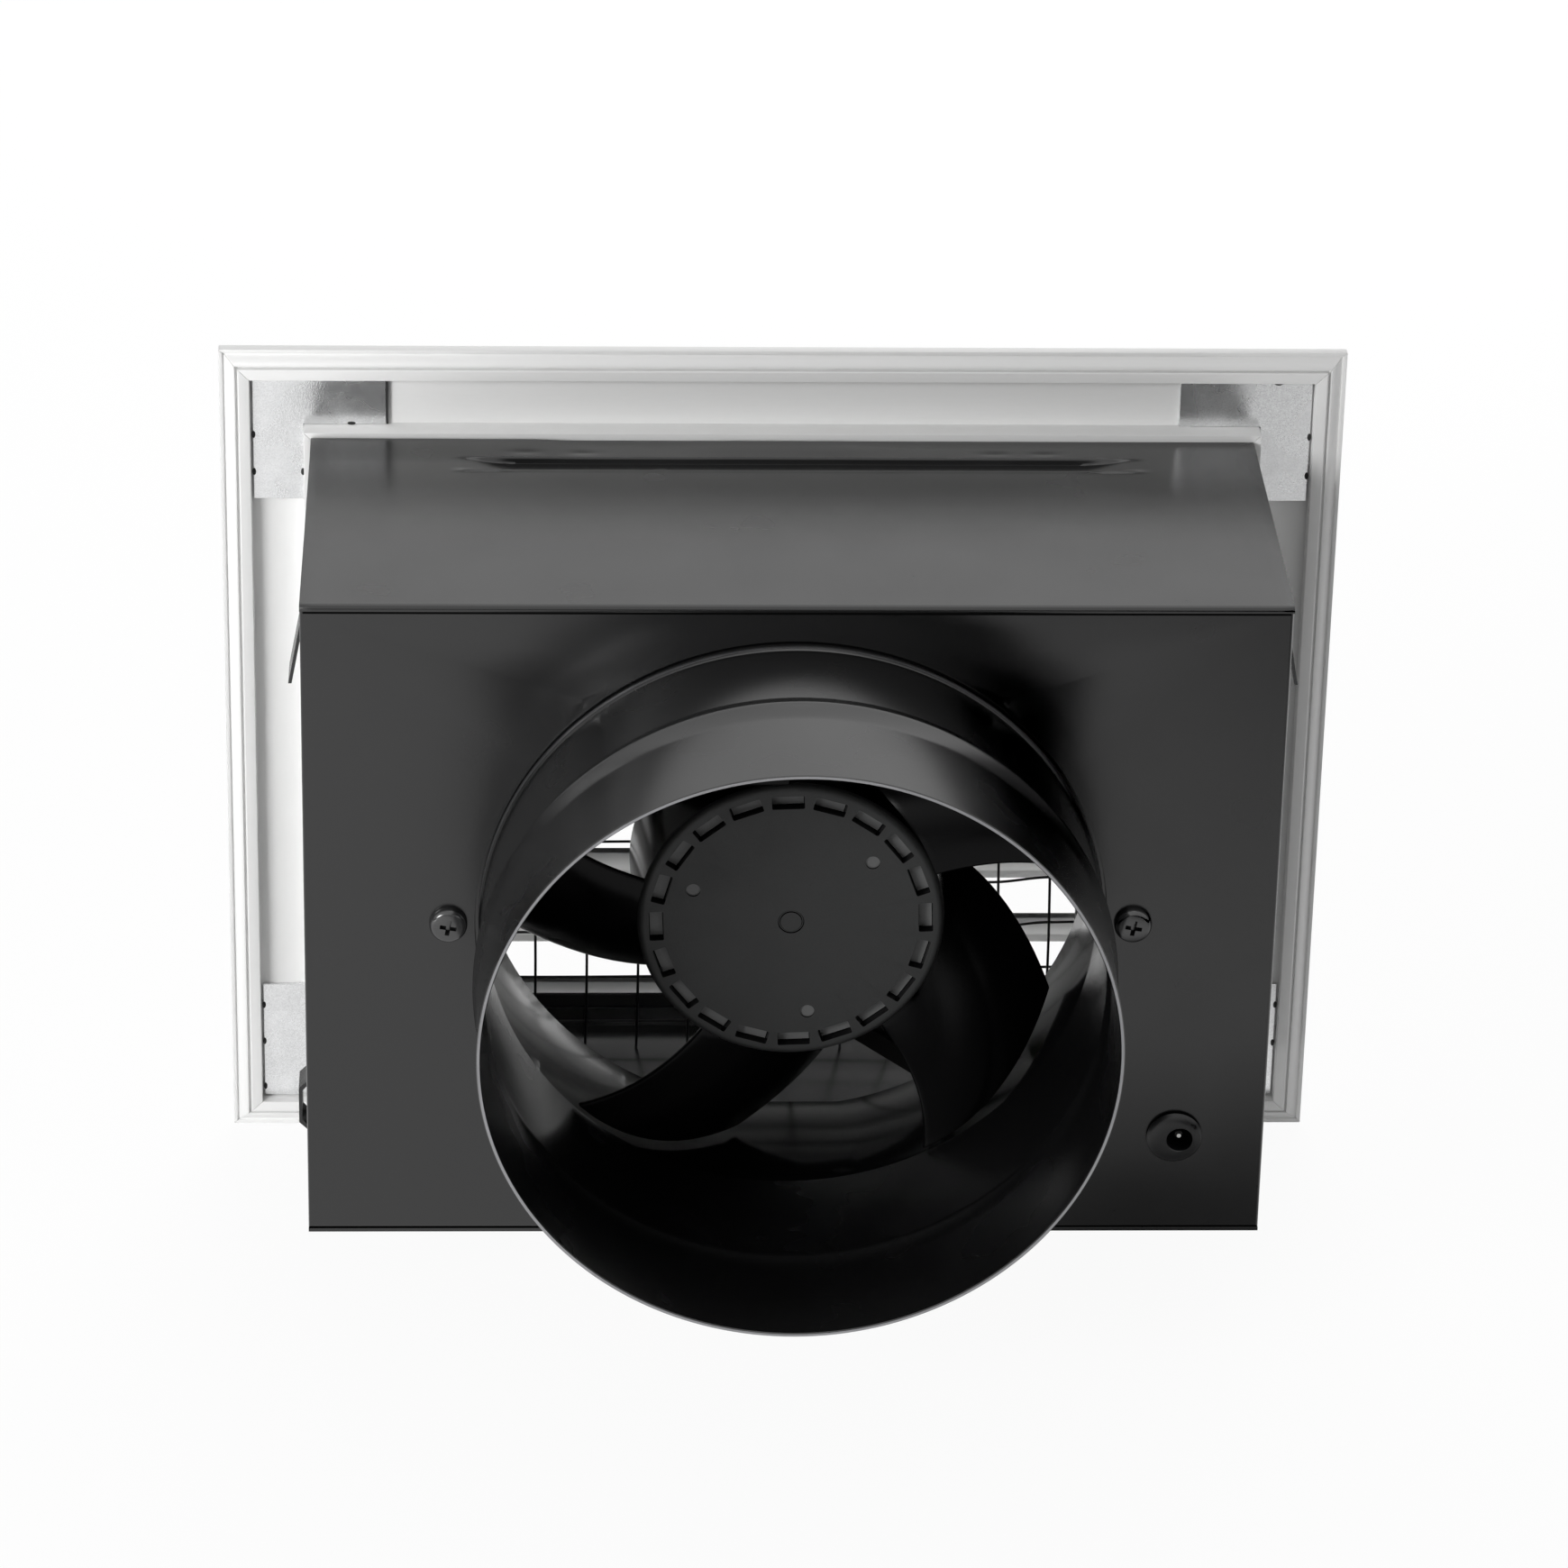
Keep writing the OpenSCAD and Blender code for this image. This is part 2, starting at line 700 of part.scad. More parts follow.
module fan_housing() {
    flat = fan_h / 2 - fan_wall;
    color(plastic_black) on_axis() {
        difference() {
            union() {
                for (h = [fan_back, fan_front - flange_t]) translate([0, 0, h])
                    linear_extrude(flange_t) flat_circle(fan_w / 2, fan_h / 2);
                translate([0, 0, fan_back]) linear_extrude(fan_depth)
                    flat_circle(duct_r + fan_wall, fan_h / 2);
            }
            translate([0, 0, fan_back - over]) linear_extrude(fan_depth + 2 * over)
                flat_circle(duct_r, flat);
            at_screws() translate([0, 0, fan_back - over])
                cylinder(r = screw_hole_r, h = fan_depth + 2 * over);
        }
        difference() {
            intersection() {
                for (angle = strut_angles) rotate(angle)
                    translate([0, -strut_off - strut_w / 2, fan_back])
                        cube([fan_w, strut_w, strut_t]);
                translate([0, 0, fan_back]) linear_extrude(fan_depth)
                    flat_circle(duct_r + fan_wall / 2, flat + fan_wall / 2);
            }
            translate([0, 0, fan_back - over])
                cylinder(r = base_r - base_t / 2, h = strut_t + 2 * over);
        }
        motor_base();
    }
}

module fan_screws() {
    head_r = 4.5;
    rim_h = 1.2;
    dome_h = 1.4;
    nut_h = 3.2;
    tail = fan_front - flange_t - nut_h - 1.2;
    color(plastic_black) at_screws() on_axis() difference() {
        union() {
            translate([0, 0, tail]) cylinder(r = screw_r, h = case_depth - tail + rim_h);
            translate([0, 0, case_depth]) cylinder(r = head_r, h = rim_h);
            translate([0, 0, case_depth + rim_h])
                cylinder(r1 = head_r, r2 = head_r - 1.4, h = dome_h);
        }
        for (turn = [-10, 80]) translate([0, 0, case_depth + rim_h + dome_h]) rotate(turn)
            cube([5, 1.1, 2.4], center = true);
    }
}

module fan_nuts() {
    nut_h = 3.2;
    across_corners = 8.1;
    color(zinc) at_screws() on_axis() difference() {
        translate([0, 0, fan_front - flange_t - nut_h])
            cylinder(d = across_corners, h = nut_h, $fn = 6);
        cylinder(r = screw_r, h = case_depth);
    }
}

// Impeller

blade_root_r = hub_r - hub_t / 2;
blade_front = fan_front - 0.6;
blade_deep = hub_back + 4.9;
blade_rise = 1.9;
blade_power = 2.1;
chord_steps = 10;
span_steps = 7;

// Lead of a blade's front edge and of its deep edge, in degrees, at t along its span
function front_lead(t) = 10.3 - 1.8 * t - 8 * t * t;
function deep_lead(t) = 74.6 - 50.4 * t + 11.7 * t * t;

// Point on one side of a blade, s along the chord and t along the span, from 0 to 1
function blade_point(s, t, side) =
    let (
        r = blade_root_r + t * (tip_r - blade_root_r),
        a0 = front_lead(t),
        a1 = deep_lead(t),
        h0 = blade_front,
        h1 = blade_deep + blade_rise * t,
        along_arc = r * (a1 - a0) * PI / 180,
        down = (h0 - h1) * blade_power * pow(s, blade_power - 1),
        size = norm([along_arc, down]),
        half = side * (blade_edge + blade_belly * sin(180 * s)),
        angle = blade_angle + a0 + (a1 - a0) * s + half * down / size / r * 180 / PI,
        h = h0 - (h0 - h1) * pow(s, blade_power) + half * along_arc / size
    )
    [r * cos(angle), r * sin(angle), h];

function blade_index(side, i, j) =
    (side * (chord_steps + 1) + i) * (span_steps + 1) + j;

// Two triangles over four corners, turned over where flip is true
function quad(a, b, c, d, flip) = flip ? [[a, c, b], [a, d, c]] : [[a, b, c], [a, c, d]];

module fan_blade() {
    points = [
        for (side = [1, -1], i = [0:chord_steps], j = [0:span_steps])
            blade_point(i / chord_steps, j / span_steps, side)
    ];
    skins = [
        for (side = [0, 1], i = [0:chord_steps - 1], j = [0:span_steps - 1])
            each quad(blade_index(side, i, j), blade_index(side, i + 1, j),
                      blade_index(side, i + 1, j + 1), blade_index(side, i, j + 1), side == 1)
    ];
    ends = [
        for (i = [0, chord_steps], j = [0:span_steps - 1])
            each quad(blade_index(0, i, j), blade_index(0, i, j + 1),
                      blade_index(1, i, j + 1), blade_index(1, i, j), i > 0)
    ];
    sides = [
        for (j = [0, span_steps], i = [0:chord_steps - 1])
            each quad(blade_index(0, i, j), blade_index(1, i, j),
                      blade_index(1, i + 1, j), blade_index(0, i + 1, j), j > 0)
    ];
    polyhedron(points, concat(skins, ends, sides));
}

module hub_section() {
    height = hub_top - hub_back;
    difference() {
        union() {
            square([hub_r - hub_round, height]);
            polygon([
                [0, 0], [hub_r + hub_draft, 0],
                [hub_r, height - hub_round], [0, height - hub_round]
            ]);
            translate([hub_r - hub_round, height - hub_round]) circle(r = hub_round);
        }
        translate([-over, -over]) square([cup_r + over, cup_top - hub_back + over]);
        translate([-hub_r, -over]) square([hub_r, height + 2 * over]);
    }
}

module impeller() {
    pocket_depth = hub_t + hub_proud - 0.7;
    pocket_turn = 2.2;
    color(plastic_black) on_axis() {
        difference() {
            translate([0, 0, hub_back]) rotate_extrude() hub_section();
            for (k = [0:pocket_count - 1]) rotate(k * 360 / pocket_count + pocket_turn)
                translate([hub_r - 4.5, 0, hub_top])
                    cube([pocket_w, pocket_l, 2 * pocket_depth], center = true);
            for (angle = [40, 160, 280]) rotate(angle)
                translate([0.68 * hub_r, 0, hub_top - 0.4]) cylinder(r = 1.6, h = over);
            ring(3.6, 3, hub_top - 0.3, hub_top + over);
        }
        for (k = [0:blade_count - 1]) rotate(k * 360 / blade_count) fan_blade();
    }
}

// Motor

// Steel cup pressed into the hub, with a boss round the shaft
module rotor_cup() {
    color(bare_steel) on_axis() difference() {
        union() {
            ring(cup_r, magnet_r, hub_back, cup_top);
            translate([0, 0, cup_top - cup_t]) cylinder(r = cup_r, h = cup_t);
            translate([0, 0, tube_top + boss_gap])
                cylinder(r = boss_r, h = cup_top - tube_top - boss_gap);
        }
        cylinder(r = shaft_r, h = case_depth);
    }
}

module rotor_magnet() {
    start = fan_back + core_seat - 2;
    color("#3b3a38") on_axis()
        ring(magnet_r, magnet_r - magnet_t, start, start + core_len + 4);
}

module motor_shaft() {
    clip_at = fan_back + bearing_seat - clip_gap - clip_t;
    color(bare_steel) on_axis() difference() {
        translate([0, 0, clip_at - 0.8]) cylinder(r = shaft_r, h = cup_top - clip_at + 0.8);
        ring(shaft_r + over, shaft_r - 0.4, clip_at, clip_at + clip_t);
    }
}

module retaining_clip() {
    clip_at = fan_back + bearing_seat - clip_gap - clip_t;
    color(bare_steel) on_axis() difference() {
        ring(shaft_r + 1.9, shaft_r - 0.4, clip_at, clip_at + clip_t);
        translate([0, -0.8, clip_at - over]) cube([boss_r + over, 1.6, clip_t + 2 * over]);
    }
}

module ball_bearing(start) {
    color(bare_steel) on_axis() difference() {
        ring(bearing_r, shaft_r + run_gap, start, start + bearing_w);
        for (h = [start - over, start + bearing_w - 0.3])
            ring(bearing_r - 1, shaft_r + 1.1, h, h + over + 0.3);
    }
}

module rear_bearing() {
    ball_bearing(fan_back + bearing_seat);
}

module front_bearing() {
    ball_bearing(tube_top - bearing_w);
}

module preload_washer() {
    start = tube_top - bearing_w - washer_t;
    color(bare_steel) on_axis() ring(bearing_r - 0.2, bearing_r - 1.6, start, start + washer_t);
}

// Outline of one stator tooth along X, without its shoe
module tooth_outline() {
    translate([tube_r + 2, -2.3]) square([core_r - tube_r - 3, 4.6]);
}

module stator_core() {
    start = fan_back + core_seat;
    hub_ring = tube_r + 4.5;
    color("#8b8d90") on_axis() translate([0, 0, start]) linear_extrude(core_len)
        difference() {
            union() {
                circle(r = hub_ring);
                difference() {
                    circle(r = core_r);
                    circle(r = core_r - 2.6);
                    for (k = [0:teeth - 1]) rotate((k + 0.5) * 360 / teeth)
                        translate([0, -1.1]) square([2 * core_r, 2.2]);
                }
                for (k = [0:teeth - 1]) rotate(k * 360 / teeth) tooth_outline();
            }
            circle(r = tube_r);
        }
}

// One coil round each tooth, between the core's hub and its shoes
module stator_windings() {
    inner = tube_r + 5.5;
    outer = core_r - 3.2;
    wide = 9;
    end = 1.6;
    start = fan_back + core_seat;
    color(copper) on_axis() for (k = [0:teeth - 1]) rotate(k * 360 / teeth) difference() {
        translate([inner, -wide / 2, start - end])
            cube([outer - inner, wide, core_len + 2 * end]);
        translate([0, 0, start]) linear_extrude(core_len) tooth_outline();
    }
}

module circuit_board() {
    seat = fan_back + board_seat;
    color("#1d4d33") on_axis() ring(board_r, tube_r + 1.5, seat, seat + board_t);
}

// Driver chips, a capacitor and a diode under the board
module board_parts() {
    seat = fan_back + board_seat;
    spot = 0.7 * board_r;
    parts = [
        [150, spot, 6, 5, 1.8], [185, spot + 1, 7, 6, 3], [215, spot, 5, 4, 1.6],
        [30, spot, 6, 5, 1.8]
    ];
    color("#202224") on_axis() for (p = parts) rotate(p[0])
        translate([p[1] - p[2] / 2, -p[3] / 2, seat - p[4]]) cube([p[2], p[3], p[4]]);
}

// Power inlet

module at_jack() {
    translate([jack_x, 0, -jack_z]) on_axis() children();
}

module jack_body() {
    edge = 0.8;
    color(plastic_black) at_jack() difference() {
        union() {
            translate([0, 0, jack_back])
                cylinder(r = jack_r, h = jack_depth + cap_t - edge);
            translate([-cap_shift, 0, case_depth]) {
                cylinder(r = cap_r, h = cap_t - edge);
                translate([0, 0, cap_t - edge]) cylinder(r1 = cap_r, r2 = cap_r - edge, h = edge);
            }
        }
        translate([0, 0, jack_back + 4]) cylinder(r = jack_bore, h = jack_depth + cap_t);
    }
}

module jack_nut() {
    nut_t = 3;
    inside = case_depth - sheet_t;
    color(zinc) at_jack() difference() {
        translate([0, 0, inside - nut_t]) cylinder(r = jack_r + 3, h = nut_t, $fn = 6);
        cylinder(r = jack_r, h = case_depth);
    }
}

module jack_pin() {
    length = jack_depth - 4.4;
    color(bare_steel) at_jack() translate([0, 0, jack_back + 4]) {
        cylinder(r = pin_r, h = length);
        translate([0, 0, length]) cylinder(r1 = pin_r, r2 = pin_r / 2, h = pin_r / 2);
    }
}

module jack_terminals() {
    color(zinc) at_jack() for (side = [-1, 1])
        translate([-1, side - 0.3, jack_back - tab_l]) cube([2, 0.6, tab_l]);
}

// Motor lead

function lead_at(k) = lead_route[min(max(k, 0), len(lead_route) - 1)];

// Point between stations k and k + 1 of the route, on a smooth curve through them all
function smooth_at(k, u) =
    let (p = lead_at(k - 1), q = lead_at(k), r = lead_at(k + 1), s = lead_at(k + 2))
    0.5 * (2 * q + (r - p) * u + (2 * p - 5 * q + 4 * r - s) * u * u
        + (3 * q - p - 3 * r + s) * u * u * u);

lead_path = concat(
    [for (k = [0:len(lead_route) - 2], i = [0:lead_steps - 1]) smooth_at(k, i / lead_steps)],
    [lead_at(len(lead_route))]
);

function unit(v) = v / norm(v);
function lead_heading(k) = unit(
    lead_path[min(k + 1, len(lead_path) - 1)] - lead_path[max(k - 1, 0)]);

function lead_ring(k) =
    let (ahead = lead_heading(k), side = unit(cross(ahead, lead_up)), up = cross(side, ahead))
    [for (i = [0:lead_sides - 1]) lead_path[k]
        + lead_d / 2 * (cos(i * 360 / lead_sides) * side + sin(i * 360 / lead_sides) * up)];

module motor_lead() {
    last = len(lead_path) - 1;
    points = [for (k = [0:last]) each lead_ring(k)];
    walls = [
        for (k = [0:last - 1], i = [0:lead_sides - 1])
            let (next = (i + 1) % lead_sides, a = k * lead_sides, b = a + lead_sides)
            each quad(a + i, b + i, b + next, a + next, false)
    ];
    start = [[for (i = [0:lead_sides - 1]) i]];
    finish = [[for (i = [0:lead_sides - 1]) (last + 1) * lead_sides - 1 - i]];
    color("#141416") polyhedron(points, concat(walls, start, finish));
}

// Saddle on the fan's far flange, round the lead
module lead_clip() {
    station = lead_route[7];
    half = lead_d / 2 + lead_way;
    color(plastic_black) difference() {
        translate([station[0] - 3, -fan_back, station[2] - half])
            cube([5, station[1] + fan_back + half, 2 * half]);
        translate([station[0], station[1], station[2]]) rotate([0, 90, 0])
            cylinder(d = lead_d, h = 4 * half, center = true);
    }
}

frame_rail_top();
frame_rail_bottom();
frame_rail_left();
frame_rail_right();
corner_keys();
louvre_blades();
louvre_stiles();
louvre_supports();
mesh_screen();
screen_frame();
rear_case();
top_panel();
bottom_panel();
inner_sill();
air_tray();
duct_collar();
fan_housing();
fan_screws();
fan_nuts();
impeller();
rotor_cup();
rotor_magnet();
motor_shaft();
retaining_clip();
front_bearing();
rear_bearing();
preload_washer();
stator_core();
stator_windings();
circuit_board();
board_parts();
jack_body();
jack_nut();
jack_pin();
jack_terminals();
motor_lead();
lead_clip();
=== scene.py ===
from math import cos, exp, hypot, pi, radians, sin, tau

import bpy
from mathutils import Matrix, Vector


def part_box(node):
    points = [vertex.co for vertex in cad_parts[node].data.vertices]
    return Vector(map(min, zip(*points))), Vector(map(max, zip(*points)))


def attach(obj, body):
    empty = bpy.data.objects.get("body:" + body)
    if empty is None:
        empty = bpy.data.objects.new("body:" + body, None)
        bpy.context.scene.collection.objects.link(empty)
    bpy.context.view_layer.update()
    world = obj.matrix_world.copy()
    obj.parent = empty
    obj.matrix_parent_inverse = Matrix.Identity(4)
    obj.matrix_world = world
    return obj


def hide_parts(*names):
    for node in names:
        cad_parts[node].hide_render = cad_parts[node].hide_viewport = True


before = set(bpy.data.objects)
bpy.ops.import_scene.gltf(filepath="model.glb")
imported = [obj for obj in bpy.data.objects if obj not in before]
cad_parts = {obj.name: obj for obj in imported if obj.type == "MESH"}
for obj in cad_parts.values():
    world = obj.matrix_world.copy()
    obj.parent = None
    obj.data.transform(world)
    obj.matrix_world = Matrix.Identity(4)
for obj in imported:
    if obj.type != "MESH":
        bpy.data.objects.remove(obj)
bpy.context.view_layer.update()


# Camera: above and behind the duct side and a little to its left, with a long lens, so
# that the case's edges run nearly parallel.
lens_place, lens_length, film_width = (-0.06466, -1.53467, 0.80049), 159.5, 36
yaw, pitch, roll = 0.0434, -0.4889, 0.0215
ahead = Vector((sin(yaw) * cos(pitch), cos(yaw) * cos(pitch), sin(pitch)))
level = Vector((cos(yaw), -sin(yaw), 0))
upright = level.cross(ahead)
camera_right = cos(roll) * level + sin(roll) * upright
camera_up = -sin(roll) * level + cos(roll) * upright
camera_turn = Matrix((camera_right, camera_up, -ahead)).transposed().to_4x4()
lens_data = bpy.data.cameras.new("camera")
lens_data.lens = lens_length
lens_data.sensor_width = film_width
camera = bpy.data.objects.new("camera", lens_data)
camera.matrix_world = Matrix.Translation(lens_place) @ camera_turn
bpy.context.scene.collection.objects.link(camera)
bpy.context.scene.camera = camera
bpy.context.scene.view_settings.view_transform = "Standard"


# Stage: a pale paper floor that keeps a soft shadow, under a plain white surround. Both
# are even to the eye, and change over the room only where the sheet's gloss shows them.
def node_at(tree, kind, **settings):
    """A new shader node with its settings"""
    node = tree.nodes.new(kind)
    for key, value in settings.items():
        setattr(node, key, value)
    return node


def maths(tree, operation, *values):
    """A sum of numbers and sockets"""
    node = node_at(tree, "ShaderNodeMath", operation=operation)
    for socket, value in zip(node.inputs, values):
        if isinstance(value, (int, float)):
            socket.default_value = value
        else:
            tree.links.new(value, socket)
    return node.outputs[0]


def eased_range(tree, measure, start, stop, low, high):
    """A value that goes smoothly from low to high as a measure goes from start to stop"""
    node = node_at(tree, "ShaderNodeMapRange", interpolation_type="SMOOTHSTEP")
    for socket, value in (("From Min", start), ("From Max", stop), ("To Min", low),
                          ("To Max", high)):
        node.inputs[socket].default_value = value
    tree.links.new(measure, node.inputs["Value"])
    return node.outputs[0]


def seen_directly(tree):
    """A factor that is 1 for what the camera sees straight or in a gloss"""
    path = node_at(tree, "ShaderNodeLightPath")
    total = node_at(tree, "ShaderNodeMath", operation="ADD", use_clamp=True)
    tree.links.new(path.outputs["Is Camera Ray"], total.inputs[0])
    tree.links.new(path.outputs["Is Glossy Ray"], total.inputs[1])
    return total.outputs[0]


def studio_strength(tree, places, level, slope, fade):
    """A strength of 1 for the camera, and for reflections one that changes over the room"""
    axes = node_at(tree, "ShaderNodeSeparateXYZ")
    tree.links.new(places, axes.inputs[0])
    across = maths(tree, "MULTIPLY", axes.outputs["X"], axes.outputs["Y"])
    ramp = maths(tree, "MULTIPLY_ADD", across, slope, level)
    change = maths(tree, "MULTIPLY_ADD", ramp, fade, -1)
    path = node_at(tree, "ShaderNodeLightPath")
    return maths(tree, "MULTIPLY_ADD", change, path.outputs["Is Glossy Ray"], 1)


def mix_out(tree, factor, first, second, end):
    """Sends a mix of two shaders to the tree's end"""
    mix = node_at(tree, "ShaderNodeMixShader")
    for k, source in enumerate((factor, first.outputs[0], second.outputs[0])):
        tree.links.new(source, mix.inputs[k])
    tree.links.new(mix.outputs[0], node_at(tree, end).inputs[0])


surround = bpy.data.worlds.new("surround")
bpy.context.scene.world = surround
surround.use_nodes = True
sky = surround.node_tree
sky.nodes.clear()
room_light = node_at(sky, "ShaderNodeBackground")
room_light.inputs["Color"].default_value = (1, 1, 1, 1)
room_light.inputs["Strength"].default_value = 0.32
backdrop = node_at(sky, "ShaderNodeBackground")
backdrop.inputs["Color"].default_value = (1, 1, 1, 1)
# Reflections show the room darker at the front right and round the horizon
heading = node_at(sky, "ShaderNodeTexCoord").outputs["Generated"]
heading_axes = node_at(sky, "ShaderNodeSeparateXYZ")
sky.links.new(heading, heading_axes.inputs[0])
height = maths(sky, "ABSOLUTE", heading_axes.outputs["Z"])
horizon = eased_range(sky, height, start=0.02, stop=0.42, low=0.3, high=1.0)
sky.links.new(studio_strength(sky, heading, level=1.08, slope=0.5, fade=horizon),
              backdrop.inputs["Strength"])
mix_out(sky, seen_directly(sky), room_light, backdrop, "ShaderNodeOutputWorld")

floor_size, floor_z = 12, -0.1168
bpy.ops.object.select_all(action="DESELECT")
bpy.ops.mesh.primitive_plane_add(size=floor_size, location=(0, 0, floor_z))
floor = bpy.context.object
floor.name = "floor"
paper = bpy.data.materials.new("floor_paper")
paper.use_nodes = True
paper_tree = paper.node_tree
paper_tree.nodes.clear()
matt = node_at(paper_tree, "ShaderNodeBsdfDiffuse")
matt.inputs["Color"].default_value = (0.86, 0.86, 0.86, 1)
glow = node_at(paper_tree, "ShaderNodeEmission")
spot = node_at(paper_tree, "ShaderNodeTexCoord").outputs["Object"]
far = node_at(paper_tree, "ShaderNodeVectorMath", operation="LENGTH")
paper_tree.links.new(spot, far.inputs[0])
far_fade = eased_range(paper_tree, far.outputs["Value"], start=0.6, stop=1.8, low=1.0,
                       high=0.3)
# A painted shadow: the floor's glow is darker in a spot beside the case, which only the rear
# plate's gloss shows
shadow_place = (0.105, -0.135, 0)
away = node_at(paper_tree, "ShaderNodeVectorMath", operation="DISTANCE")
away.inputs[1].default_value = shadow_place
paper_tree.links.new(spot, away.inputs[0])
shadow_fade = eased_range(paper_tree, away.outputs["Value"], start=0.02, stop=0.13,
                          low=0.15, high=1.0)
fade = maths(paper_tree, "MULTIPLY", far_fade, shadow_fade)
paper_tree.links.new(studio_strength(paper_tree, spot, level=0.92, slope=2.4, fade=fade),
                     glow.inputs["Strength"])
glow_most = 0.94
glow_share = maths(paper_tree, "MULTIPLY", seen_directly(paper_tree), glow_most)
mix_out(paper_tree, glow_share, matt, glow, "ShaderNodeOutputMaterial")
floor.data.materials.append(paper)


def soft_box(name, place, size, power, mirrored=True):
    """A square lamp that points at the middle of the fan"""
    data = bpy.data.lights.new(name, "AREA")
    data.size = size
    data.energy = power
    lamp = bpy.data.objects.new(name, data)
    lamp.location = place
    lamp.rotation_euler = (fan_middle - Vector(place)).to_track_quat("-Z", "Y").to_euler()
    lamp.visible_glossy = mirrored
    bpy.context.scene.collection.objects.link(lamp)


fan_middle = Vector((0, -0.06, -0.01))
soft_box("key_lamp", (-1.3, -1.6, 0.8), size=0.7, power=24)
soft_box("top_lamp", (0.2, 0.3, 2.0), size=1.2, power=3)
soft_box("side_lamp", (-0.5, -0.45, -0.05), size=0.3, power=1.7, mirrored=False)
soft_box("front_lamp", (0.15, 1.1, 0.6), size=0.8, power=11, mirrored=False)


# Wall frame: four mitred lengths of aluminium extrusion with a white powder coat. Each
# has its outer lip, the ridge that lies on the wall, the keyed channel and the neck.
def finish_group():
    """Colour, roughness and height that wander over a surface at two sizes"""
    group = bpy.data.node_groups.new("surface_grain", "ShaderNodeTree")
    for name, kind in (
        ("Place", "NodeSocketVector"), ("Colour", "NodeSocketColor"),
        ("Shade", "NodeSocketFloat"), ("Rough", "NodeSocketFloat"),
        ("Spread", "NodeSocketFloat"), ("Size", "NodeSocketFloat"),
    ):
        group.interface.new_socket(name=name, in_out="INPUT", socket_type=kind)
    for name, kind in (
        ("Colour", "NodeSocketColor"), ("Roughness", "NodeSocketFloat"),
        ("Height", "NodeSocketFloat"),
    ):
        group.interface.new_socket(name=name, in_out="OUTPUT", socket_type=kind)
    given = node_at(group, "NodeGroupInput").outputs
    end = node_at(group, "NodeGroupOutput")
    link = group.links.new
    cloud_share, middle = 0.03, 0.5

    fine = node_at(group, "ShaderNodeTexNoise")
    fine.inputs["Detail"].default_value = 3
    link(given["Place"], fine.inputs["Vector"])
    link(given["Size"], fine.inputs["Scale"])
    cloud = node_at(group, "ShaderNodeTexNoise")
    cloud.inputs["Detail"].default_value = 2
    link(given["Place"], cloud.inputs["Vector"])
    link(maths(group, "MULTIPLY", given["Size"], cloud_share), cloud.inputs["Scale"])
    grain = maths(group, "SUBTRACT", fine.outputs["Fac"], middle)
    wander = maths(group, "SUBTRACT", cloud.outputs["Fac"], middle)
    both = maths(group, "ADD", grain, wander)
    tint = node_at(group, "ShaderNodeVectorMath", operation="SCALE")
    link(given["Colour"], tint.inputs[0])
    link(maths(group, "MULTIPLY_ADD", both, given["Shade"], 1), tint.inputs["Scale"])
    link(tint.outputs[0], end.inputs["Colour"])
    link(maths(group, "MULTIPLY_ADD", wander, given["Spread"], given["Rough"]),
         end.inputs["Roughness"])
    link(fine.outputs["Fac"], end.inputs["Height"])
    return group


surface_grain = finish_group()


def finish(name, colour, rough, size, shade=0.1, spread=0.1, bump=0.1, depth=0.00005,
           stretch=(1, 1, 1), metallic=0.0, specular=0.5):
    """A material whose grain has the given size per metre, drawn out along an axis"""
    material = bpy.data.materials.new(name)
    material.use_nodes = True
    tree = material.node_tree
    surface = tree.nodes["Principled BSDF"]
    surface.inputs["Metallic"].default_value = metallic
    surface.inputs["Specular IOR Level"].default_value = specular
    place = node_at(tree, "ShaderNodeTexCoord")
    mapping = node_at(tree, "ShaderNodeMapping")
    mapping.inputs["Scale"].default_value = stretch
    grain = node_at(tree, "ShaderNodeGroup", node_tree=surface_grain)
    grain.inputs["Colour"].default_value = (*colour, 1)
    for socket, value in (("Shade", shade), ("Rough", rough), ("Spread", spread),
                          ("Size", size)):
        grain.inputs[socket].default_value = value
    relief = node_at(tree, "ShaderNodeBump")
    relief.inputs["Strength"].default_value = bump
    relief.inputs["Distance"].default_value = depth
    tree.links.new(place.outputs["Object"], mapping.inputs["Vector"])
    tree.links.new(mapping.outputs["Vector"], grain.inputs["Place"])
    tree.links.new(grain.outputs["Colour"], surface.inputs["Base Color"])
    tree.links.new(grain.outputs["Roughness"], surface.inputs["Roughness"])
    tree.links.new(grain.outputs["Height"], relief.inputs["Height"])
    tree.links.new(relief.outputs["Normal"], surface.inputs["Normal"])
    return material


def only(piece):
    """Selects one piece alone and makes it active"""
    bpy.ops.object.select_all(action="DESELECT")
    piece.select_set(True)
    bpy.context.view_layer.objects.active = piece


def new_piece(name, data):
    """A piece at the origin that holds a mesh or a curve, selected alone"""
    piece = bpy.data.objects.new(name, data)
    bpy.context.scene.collection.objects.link(piece)
    only(piece)
    return piece


def face_outwards(piece):
    """Turns all faces of a piece outwards"""
    only(piece)
    bpy.ops.object.mode_set(mode="EDIT")
    bpy.ops.mesh.select_all(action="SELECT")
    bpy.ops.mesh.normals_make_consistent(inside=False)
    bpy.ops.object.mode_set(mode="OBJECT")


def use(piece, kind, **settings):
    """Adds a modifier with its settings and applies it"""
    only(piece)
    modifier = piece.modifiers.new(kind.lower(), kind)
    for key, value in settings.items():
        setattr(modifier, key, value)
    bpy.ops.object.modifier_apply(modifier=modifier.name)


def shade_to(piece, angle):
    """Shades a piece smooth where its faces meet at less than an angle"""
    only(piece)
    bpy.ops.object.shade_smooth_by_angle(angle=radians(angle))


